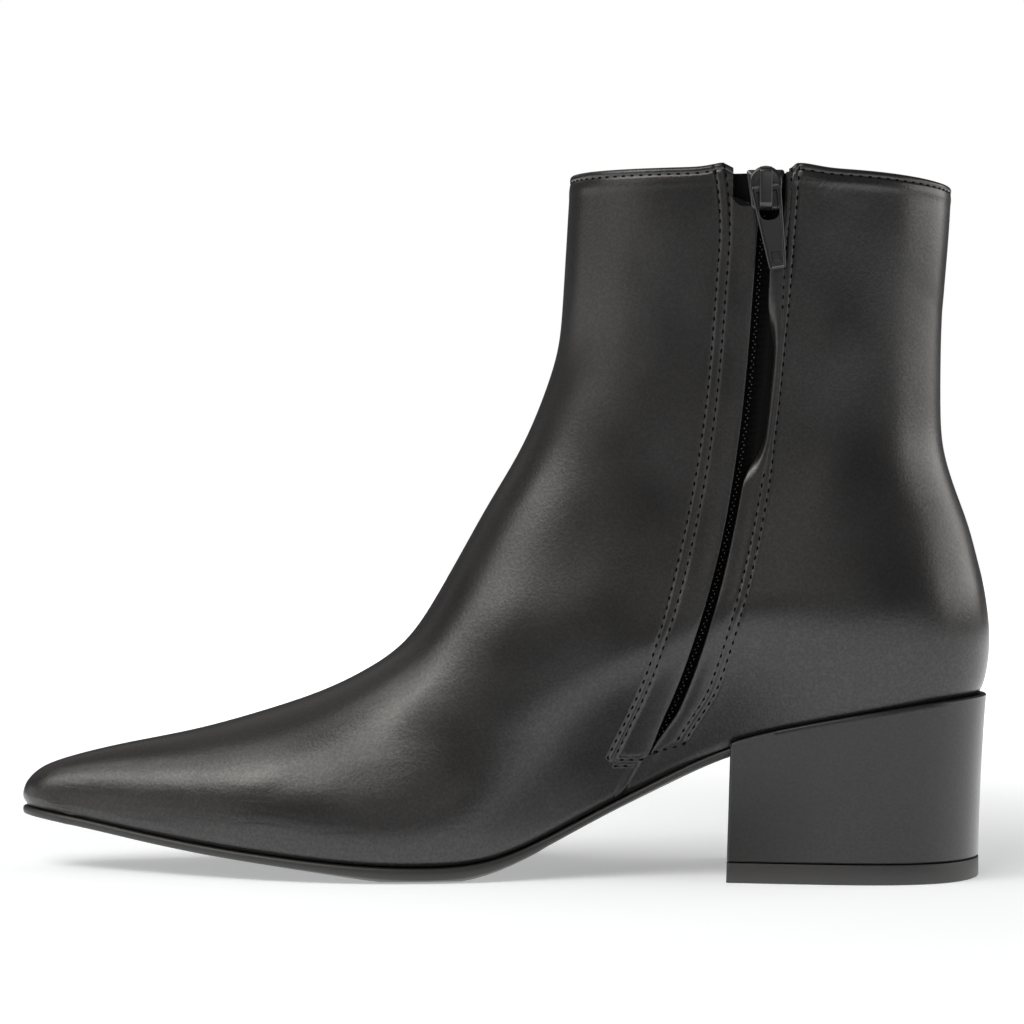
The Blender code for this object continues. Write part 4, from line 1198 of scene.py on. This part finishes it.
def make_slider():
    """Slider: a lower plate with two shoulders, a waist, a crowned shield with a pointed top, the bridge."""
    half = SLIDER_WIDTH / 2
    length = SLIDER_LENGTH / 2
    foot = half * SLIDER_FOOT

    def outline(wide, high, corners):
        return rounded([(-wide, high), (-foot, -length), (foot, -length), (wide, high)], corners, ARC_POINTS)

    plate = outline(half + PLATE_WIDER, length - PLATE_SHORTER, PLATE_CORNERS)
    shield = outline(half, length + SHIELD_LONGER, SHIELD_CORNERS)
    face = -BAR_ROOM
    back = -SLIDER_TOP - BAR_ROOM - WALL - TAPE_LIFT + FIT + PLATE_LIFT
    rings = [(inset(plate, amount), back + up) for amount, up in PLATE_RINGS]
    rings += [(plate * WAIST, back + WAIST_ENDS[0]), (shield * WAIST, face + WAIST_ENDS[1])]
    rings += [(inset(shield, amount), face + up) for amount, up in SHIELD_RINGS]
    rings.append((shield * FACE_SHARE, face + FACE_CROWN))
    body = np.concatenate([at_height(plan, height) for plan, height in rings])
    reach = length - BRIDGE_INSET
    rise = BAR_ROOM + BRIDGE_THICK / 2
    root = face - BRIDGE_SUNK
    path = rounded([(-reach, root), (-reach, rise), (reach, rise), (reach, root)], BRIDGE_CORNERS, BRIDGE_ARC)
    path = path[BRIDGE_ARC // 2 + 1:-(BRIDGE_ARC // 2 + 1)]
    ahead = unit(np.gradient(path, axis=0))
    normal = np.column_stack([-ahead[:, 1], ahead[:, 0]])
    wide = BRIDGE_WIDTH / 2
    deep = BRIDGE_THICK / 2
    section = rounded([(-wide, -deep), (wide, -deep), (wide, deep), (-wide, deep)], BRIDGE_ROUND, 5)
    arch = np.empty((len(path), len(section), 3))
    arch[..., 0] = section[:, 0]
    arch[..., 1:] = path[:, None] + normal[:, None] * section[:, 1:]
    faces = tube_faces(len(rings), len(shield)) + tube_faces(*arch.shape[:2], start=len(body))
    points = in_frame(np.concatenate([body, arch.reshape(-1, 3)]), 0.0)
    put("zip_slider_body", points, faces, [COATED], node=["zip_slider"], slot="black_metal", sharp=50)


# Tab: columns in a block, corners, rim, recess, window's walls and sill, rounding of its edges, rows
TAB_BLOCK = 14
TAB_CORNER = 1.5
TAB_FOOT_CORNER = 0.7
TAB_RIM = 0.7
TAB_RIM_RISE = 0.2
TAB_RECESS = (2.2, 2.7)
TAB_RECESS_UP = 3.3
TAB_RECESS_DEEP = 0.5
TAB_ARM = 0.9
TAB_LEAST_HOLE = 0.5
TAB_SILL_CORNER = 1.9
TAB_SLOPE = 0.2
TAB_EDGE_ROUND = 0.35
TAB_EDGE_DROP = 0.45
TAB_END = 1.7
TAB_END_ROWS = np.array((0, 0.03, 0.1, 0.2, 0.35, 0.5, 0.7, 0.9, 1.1, 1.4))


def corner_cut(depth, radius):
    """How far a rounded corner draws a side in, at a depth from the end of the piece."""
    return radius - np.sqrt(np.maximum(radius ** 2 - np.maximum(radius - depth, 0) ** 2, 0))


def make_pull_tab():
    """Tapered pull tab: a raised rim, a round-ended window for the bridge, a small recess at its foot.

    Each row across the tab is three blocks of columns on the front and three on the back, and the middle
    block is left out along the window.
    """
    top = TAB_BAR / 2
    low = top - TAB_LENGTH
    sill = -top - TAB_WINDOW
    y = np.concatenate([top - TAB_END_ROWS, low + TAB_END_ROWS, [-top],
                        np.linspace(top - TAB_END, sill + TAB_END, 24), sill + np.linspace(0, TAB_END, 12),
                        np.linspace(sill - 0.1, low + 1.6, 56)])
    y = np.unique(y)[::-1]
    down = (top - y) / TAB_LENGTH
    half = (TAB_TOP_WIDTH + (TAB_FOOT_WIDTH - TAB_TOP_WIDTH) * down) / 2
    half = half - corner_cut(top - y, TAB_CORNER) - corner_cut(y - low, TAB_FOOT_CORNER)
    hole = np.minimum(TAB_WINDOW_WIDTH / 2, half - TAB_ARM) - corner_cut(y - sill, TAB_SILL_CORNER)
    hole = np.where(y < sill, TAB_RECESS[0] / 2, np.maximum(hole, TAB_LEAST_HOLE))
    place = (1 - np.cos(np.pi * np.linspace(0, 1, TAB_BLOCK))) / 2
    side = half[:, None] + (hole - half)[:, None] * place
    between = hole[:, None] * (1 - 2 * place[1:-1])
    x = np.concatenate([side, between, -side[:, ::-1]], axis=1)
    to_side = half[:, None] - np.abs(x)
    to_edge = np.minimum(to_side, np.minimum(top - y, y - low)[:, None])
    rim = TAB_RIM_RISE * smoothstep((TAB_RIM - to_edge) / TAB_SLOPE)
    near = np.clip(1 - to_edge / TAB_EDGE_ROUND, 0, 1)
    rounding = TAB_EDGE_DROP * (1 - np.sqrt(np.maximum(1 - near ** 2, 0)))
    within = TAB_RECESS[1] / 2 - np.abs(y - low - TAB_RECESS_UP)
    recess = smoothstep((TAB_RECESS[0] / 2 - np.abs(x)) / TAB_SLOPE + 0.5)
    recess = recess * smoothstep(within / TAB_SLOPE + 0.5)[:, None]
    lift = TAB_THICK / 2 - TAB_RIM_RISE + rim - rounding - TAB_RECESS_DEEP * recess
    down_y = np.broadcast_to(y[:, None], x.shape)
    sheet = np.concatenate([np.stack([x, down_y, lift], axis=-1),
                            np.stack([x, down_y, -lift], axis=-1)[:, ::-1]], axis=1)
    rows, cols, _ = sheet.shape
    open_row = (y[:-1] <= -top) & (y[1:] >= sill)
    j = np.arange(cols)
    first = TAB_BLOCK - 1
    last = cols // 2 - TAB_BLOCK
    middle_block = ((j >= first) & (j < last)) | ((j >= cols - 1 - last) & (j < cols - 1 - first))
    cut = (open_row[:, None] & middle_block[None, :]).ravel()
    faces = grid_faces(rows, cols, wrap_cols=True)[~cut].tolist()
    i = np.flatnonzero(open_row)
    for c in (first, last):
        far = cols - 1 - c
        faces += quads(i * cols + c, (i + 1) * cols + c, (i + 1) * cols + far, i * cols + far)
    window = np.arange(first, last)
    end = np.arange(cols // 2 - 1)
    for r, c in ((i[0], window), (i[-1] + 1, window), (0, end), (rows - 1, end)):
        here = r * cols + c
        far = (r + 1) * cols - 1 - c
        faces += quads(here, here + 1, far - 1, far)
    put("zip_pull", in_frame(sheet.reshape(-1, 3), TAB_LEAN), faces, [COATED], body="pull_tab",
        node=["zip_pull_tab"], slot="black_metal", sharp=50)


# Sole and heel

# Points from toe to heel on a plan line; the sole's side as rings: inwards, share down, share under the belly
PLAN_STEPS = 130
SOLE_SIDE = ((0.9, 0.0, 0.0), (0.35, 0.06, 0.0), (0.05, 0.25, 0.0), (0.0, 0.5, 0.0), (0.05, 0.78, 0.0),
             (0.3, 0.96, 0.0), (0.8, 1.0, 0.12), (2.2, 1.0, 0.6), (BELLY_INSET, 1.0, 1.0))
# Heel: rounding of its foot, rings of its wall and lip, rings of the lift as outwards and height
HEEL_FOOT_ROUND = 0.35
WALL_TOP = 0.965
WALL_RINGS = 20
LIP_TURN = (20, 45, 70, 90, 115, 145, 180)
LIFT_RINGS = ((-LIFT_BEVEL, 0.0), (-LIFT_BEVEL / 3, 0.14), (0.0, LIFT_BEVEL), (0.0, LIFT_THICK - 0.35),
              (-0.12, LIFT_THICK - 0.1), (-0.4, LIFT_THICK))


def feather_half(x, side):
    """Distance of the feather line from the middle line at x."""
    return half_width(x, station("feather", x), side)


def feather_line(front, back, closed):
    """Plan of the feather line: inner side, round the back, outer side, closed or open in front."""
    t = np.linspace(-1, 1, 2 * PLAN_STEPS + 1)
    ease = (1 + np.cos(np.pi * t)) / 2 if closed else np.sin(np.pi / 2 * (1 - np.abs(t)))
    x = front + (back - front) * ease
    half = np.where(t < 0, feather_half(x, "inner"), feather_half(x, "outer"))
    half[PLAN_STEPS] = 0
    if closed:
        half[[0, -1]] = 0
    plan = np.stack([x, station("axis", x) + np.sign(t) * half], axis=-1)
    return plan[:-1] if closed else plan


def grown(plan, amount, closed):
    """A plan line moved outwards along its own normal. An open line's ends move straight sideways."""
    if closed:
        ahead = np.roll(plan, -1, axis=0) - np.roll(plan, 1, axis=0)
    else:
        ahead = np.gradient(plan, axis=0)
        ahead[[0, -1], 1] = 0
    normal = unit(np.stack([ahead[:, 1], -ahead[:, 0]], axis=-1))
    return plan + normal * np.reshape(amount, (-1, 1))


def slab(name, rings, closed, material, **extra):
    """A solid from stacked rings of plan points, closed above and below by rungs from side to side."""
    count = len(rings)
    size = len(rings[0])
    j = np.arange(size // 2)
    opposite = (size - j) % size if closed else size - 1 - j
    following = size - j - 1 if closed else size - 2 - j
    rungs = np.stack([j, j + 1, following, opposite], axis=-1)
    faces = grid_faces(count, size, wrap_cols=closed)
    faces = np.concatenate([faces, rungs, (count - 1) * size + rungs]).tolist()
    if not closed:
        first = np.arange(count - 1) * size
        faces += quads(first, first + size, first + 2 * size - 1, first + size - 1)
    faces = [list(dict.fromkeys(face)) for face in faces]
    put(name, np.concatenate(rings), faces, [material], **extra)


def at_height(plan, height):
    """A plan line's points at one height, or each at its own."""
    return np.column_stack([plan, np.broadcast_to(height, len(plan))])


def sole_edge_bottom(x):
    """Lower edge of the outsole's side: an even thickness, with a tread that is thickest at the ball."""
    tread = TREAD_THICK * smoothstep(LENGTH * (ORIGIN_ALONG - TREAD_END) - x)
    tread += TREAD_BALL * bell((x - BALL_X) / TREAD_SPREAD)
    return station("feather", x) - FIT - SOLE_THICK - tread


def sole_bottom(x):
    """Underside of the outsole inside its edges, flattened by the floor at the ball."""
    belly = BELLY + BALL_BELLY * bell((x - BALL_X) / TREAD_SPREAD)
    return np.maximum(sole_edge_bottom(x) - belly, 0.0)


def make_outsole():
    """Sole with a rounded edge: rings from the feather groove down its side and in under its belly."""
    plan = feather_line(loop_value("front_along", 0), loop_value("back_along", 0), True)
    x = plan[:, 0]
    breast = LENGTH * (ORIGIN_ALONG - BREAST)
    edge = SOLE_EDGE - (SOLE_EDGE - SEAT_EDGE) * smoothstep((x - breast) / SEAT_RUN + 1)
    edge -= (SOLE_EDGE - TOE_EDGE) * smoothstep((x.min() + TOE_RUN - x) / TOE_RUN)
    top = station("feather", x) - FIT
    low = sole_edge_bottom(x)
    belly = sole_bottom(x)
    rings = []
    for inwards, down, under in SOLE_SIDE:
        height = top + (low - top) * down
        rings.append(at_height(grown(plan, edge - inwards, True), height + (belly - low) * under))
    slab("sole_with_tread", rings, True, SOLE_RUBBER, node=["outsole"], slot="black_rubber")


def breast_x(z):
    """The heel's front face, which leans back with height."""
    return LENGTH * (ORIGIN_ALONG - BREAST) + BREAST_LEAN * z / HEEL_HEIGHT


def make_heel():
    """Covered block heel with a rolled lip round the heel seat, and the rubber lift under it."""
    edge = feather_line(breast_x(HEEL_HEIGHT), loop_value("back_along", 0), False)
    lip_top = station("feather", edge[:, 0]) + LIP_RISE
    seat = sole_bottom(edge[:, 0]) - SEAT_FIT
    outside = LIP_GAP + LIP_THICK

    def wall(up):
        """Outer ring of the heel at a share of its height, hollowed half way up and drawn in at its foot."""
        plan = grown(edge, outside - HEEL_TAPER * (1 - up) - HEEL_SIDE_HOLLOW * 4 * up * (1 - up), False)
        rear = smoothstep((edge[:, 0] - edge[:, 0].max()) / HEEL_BACK_RUN + 1)
        return plan - np.outer(HEEL_BACK_LEAN * (1 - up) * rear, (1, 0))

    def ring(plan, height, drop=0.0):
        """A ring that stops at the heel's front face, its two corners there rounded."""
        points = at_height(plan, height)
        turn = np.linspace(0, np.pi / 2, BREAST_STEPS)
        ends = [np.column_stack([breast_x(end[2]) + BREAST_ROUND * (1 - np.sin(turn)),
                                 end[1] + inwards * BREAST_ROUND * (1 - np.cos(turn)),
                                 end[2] - drop * (1 - np.cos(turn))])
                for end, inwards in ((points[0], 1), (points[-1], -1))]
        return np.concatenate([ends[0][::-1], points[1:-1], ends[1]])

    foot = LIFT_THICK + FIT
    lowest = wall(0.0)
    rings = [ring(grown(lowest, -HEEL_FOOT_ROUND, False), foot)]
    for up in np.linspace(0, WALL_TOP, WALL_RINGS):
        rings.append(ring(wall(up), foot + HEEL_FOOT_ROUND * (1 - up) + (lip_top - foot) * up))
    for angle in np.radians(LIP_TURN):
        out = LIP_GAP + LIP_THICK / 2 * (1 + np.cos(angle))
        rings.append(ring(grown(edge, out, False), lip_top - LIP_THICK / 2 * (1 - np.sin(angle)), LIP_DROP))
    rings.append(ring(grown(edge, LIP_GAP - FIT, False), seat))
    slab("heel_cover", rings, False, HEEL_CALF, node=["heel_block"], slot="black_calf", sharp=35)
    lift = [ring(grown(lowest, out, False), height) for out, height in LIFT_RINGS]
    slab("heel_lift", lift, False, LIFT_RUBBER, node=["heel_top_lift"], slot="black_rubber", sharp=35)


def dress_nodes():
    """Solids that keep their own shape get the finish of the real piece; the tape's is darkened further by
    painted shade for its deep gap.
    """
    for name, material in (("insole", LINING), ("zip_tape", TAPE_AND_GAP_SHADE)):
        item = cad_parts[name]
        item.data.materials.clear()
        item.data.materials.append(material)


# Studio

# Lamps: name, place and aim, width and height, all in metres, and power in watts
LAMPS = [
    ("key_softbox", (-0.40, -0.73, 0.92), (0.0, 0.0, 0.08), 0.85, 0.40, 6.6),
    ("left_softbox", (-0.80, -0.50, 0.74), (0.0, 0.0, 0.1), 0.60, 0.36, 3.3),
    ("toe_softbox", (-0.67, -0.18, 1.02), (0.0, 0.0, 0.1), 0.50, 0.35, 1.5),
    ("left_low_softbox", (-1.06, -0.26, 0.21), (0.0, 0.0, 0.1), 1.4, 0.3, 1.7),
    ("front_low_panel", (0.18, -1.15, 0.40), (0.0, 0.0, 0.03), 0.34, 0.12, 0.38),
    ("right_softbox", (1.06, 0.12, 0.36), (0.1, 0.0, 0.1), 1.25, 0.38, 4.6),
    ("rear_panel", (-0.30, 0.60, 1.10), (0.0, 0.0, 0.1), 2.0, 1.6, 3.0),
]
LAMP_TINT = "#fffbf6"
# Floor: size in metres, paint, the glow that the boot mirrors, paint and glow of the painted shade that the
# boot mirrors, the glow that the camera sees near and far
FLOOR_RADIUS = 3.0
FLOOR_PAINT = "#e9edf2"
FLOOR_GLOW = 1.1
SHADE_PAINT = "#1c1c1c"
SHADE_GLOW = 0.05
SEEN_GLOW = (0.35, 1.2)
SEEN_REACH = (0.15, 0.75)
# Painted shade on the floor, seen only in the leather's reflections: a painted shadow under the arch and a
# darker stretch far in front; middle and reach, in metres
ARCH_SHADE = ((0.049, -0.086, 0.0), (0.023, 0.044, 1.0))
FRONT_SHADE = ((0.0, -1.6, 0.0), (0.50, 1.0, 1.0))
SHADE_EDGE = (0.6, 1.4)
SURROUND_LIGHT = 0.10
# Camera: lens and sensor in millimetres, shift as a share of the frame, place in metres, turn in degrees
LENS = 99.56
SENSOR = 36.0
SHIFT_UP = -12 / 1024
CAMERA_PLACE = (0.06839, -0.79733, 0.104)
CAMERA_TURN = 4.7


def area_light(name, place, aim, width, height, power):
    """A rectangular soft light at a place, turned to a point, both in metres."""
    data = bpy.data.lights.new(name, "AREA")
    data.shape = "RECTANGLE"
    data.size = width
    data.size_y = height
    data.energy = power
    data.color = linear(LAMP_TINT)[:3]
    lamp = bpy.data.objects.new(name, data)
    lamp.location = place
    lamp.rotation_euler = (Vector(aim) - Vector(place)).to_track_quat("-Z", "Y").to_euler()
    bpy.context.scene.collection.objects.link(lamp)


def floor_finish():
    """White floor lit from below: softly shaded near the boot and white farther off, as the camera sees it.

    To the leather, which mirrors it, it is evenly bright, apart from two places of painted shade: a painted
    shadow under the arch and a darker stretch far in front.
    """
    material, tree, shader, place = new_material("white_backlit_floor", FLOOR_PAINT, 0.9)
    distance = add(tree, "VectorMath", [(0, place)], operation="LENGTH")
    glow = add(tree, "MapRange", [("Value", distance.outputs["Value"])],
               interpolation_type="SMOOTHSTEP", from_min=SEEN_REACH[0], from_max=SEEN_REACH[1],
               to_min=SEEN_GLOW[0], to_max=SEEN_GLOW[1])
    seen = add(tree, "LightPath").outputs["Is Camera Ray"]
    # Painted shade: inside these places the floor's paint and glow drop, for reflections only
    open_floor = []
    for location, reach in (ARCH_SHADE, FRONT_SHADE):
        patch = add(tree, "Mapping", [("Vector", place)], vector_type="TEXTURE", location=location,
                    scale=reach)
        away = add(tree, "VectorMath", [(0, patch.outputs[0])], operation="LENGTH")
        outside = add(tree, "MapRange", [("Value", away.outputs["Value"])],
                      interpolation_type="SMOOTHSTEP", from_min=SHADE_EDGE[0], from_max=SHADE_EDGE[1])
        open_floor.append(outside.outputs["Result"])
    clear = add(tree, "Math", list(enumerate(open_floor)), operation="MULTIPLY").outputs[0]
    shade = add(tree, "MapRange", [("Value", clear)], to_min=SHADE_GLOW, to_max=FLOOR_GLOW)
    pale = add(tree, "Math", [(0, seen), (1, clear)], operation="MAXIMUM")
    tint = add(tree, "Mix", [(0, pale.outputs[0])], data_type="RGBA", a=linear(SHADE_PAINT),
               b=linear(FLOOR_PAINT))
    strength = add(tree, "Mix", [("Factor", seen), ("A", shade.outputs["Result"]),
                                           ("B", glow.outputs["Result"])])
    shader.inputs["Emission Color"].default_value = linear("#ffffff")
    wire(tree, shader, [("Base Color", tint.outputs["Result"]),
                        ("Emission Strength", strength.outputs["Result"])])
    return material


def make_floor():
    """Round pale floor under the boot."""
    radius = np.linspace(0, FLOOR_RADIUS, 40)[1:, None]
    angle = np.linspace(0, 2 * np.pi, 65)[:-1]
    points = np.stack([radius * np.cos(angle), radius * np.sin(angle), 0 * radius + 0 * angle], axis=-1)
    mesh = bpy.data.meshes.new("floor")
    faces = grid_faces(*points.shape[:2], wrap_cols=True).tolist() + [list(range(len(angle)))]
    mesh.from_pydata(points.reshape(-1, 3).tolist(), [], faces)
    mesh.materials.append(floor_finish())
    floor = bpy.data.objects.new("floor", mesh)
    bpy.context.scene.collection.objects.link(floor)


def make_studio():
    """The floor, a white surround that gives little light, and seven soft lamps round the boot."""
    make_floor()
    world = bpy.data.worlds.new("white_surround")
    bpy.context.scene.world = world
    world.use_nodes = True
    tree = world.node_tree
    tree.nodes.clear()
    seen = add(tree, "Background", color=linear("#ffffff"), strength=1.0)
    lit = add(tree, "Background", color=linear("#f4f4f6"), strength=SURROUND_LIGHT)
    path = add(tree, "LightPath")
    choice = add(tree, "MixShader", [(0, path.outputs["Is Camera Ray"]), (1, lit.outputs[0]),
                                               (2, seen.outputs[0])])
    add(tree, "OutputWorld", [("Surface", choice.outputs[0])])
    for lamp in LAMPS:
        area_light(*lamp)
    bpy.context.scene.view_settings.view_transform = "Standard"


def make_camera():
    """Camera at the photograph's angle: level, a little behind square on, 104 mm above the floor."""
    data = bpy.data.cameras.new("photo_camera")
    data.lens = LENS
    data.sensor_width = SENSOR
    data.shift_y = SHIFT_UP
    data.clip_start = 0.01
    camera = bpy.data.objects.new("photo_camera", data)
    camera.location = CAMERA_PLACE
    camera.rotation_euler = (np.pi / 2, 0, np.radians(CAMERA_TURN))
    bpy.context.scene.collection.objects.link(camera)
    bpy.context.scene.camera = camera


make_camera()
make_seams(*make_upper())
make_facings()
make_coil()
make_slider()
make_pull_tab()
make_outsole()
make_heel()
dress_nodes()
make_studio()
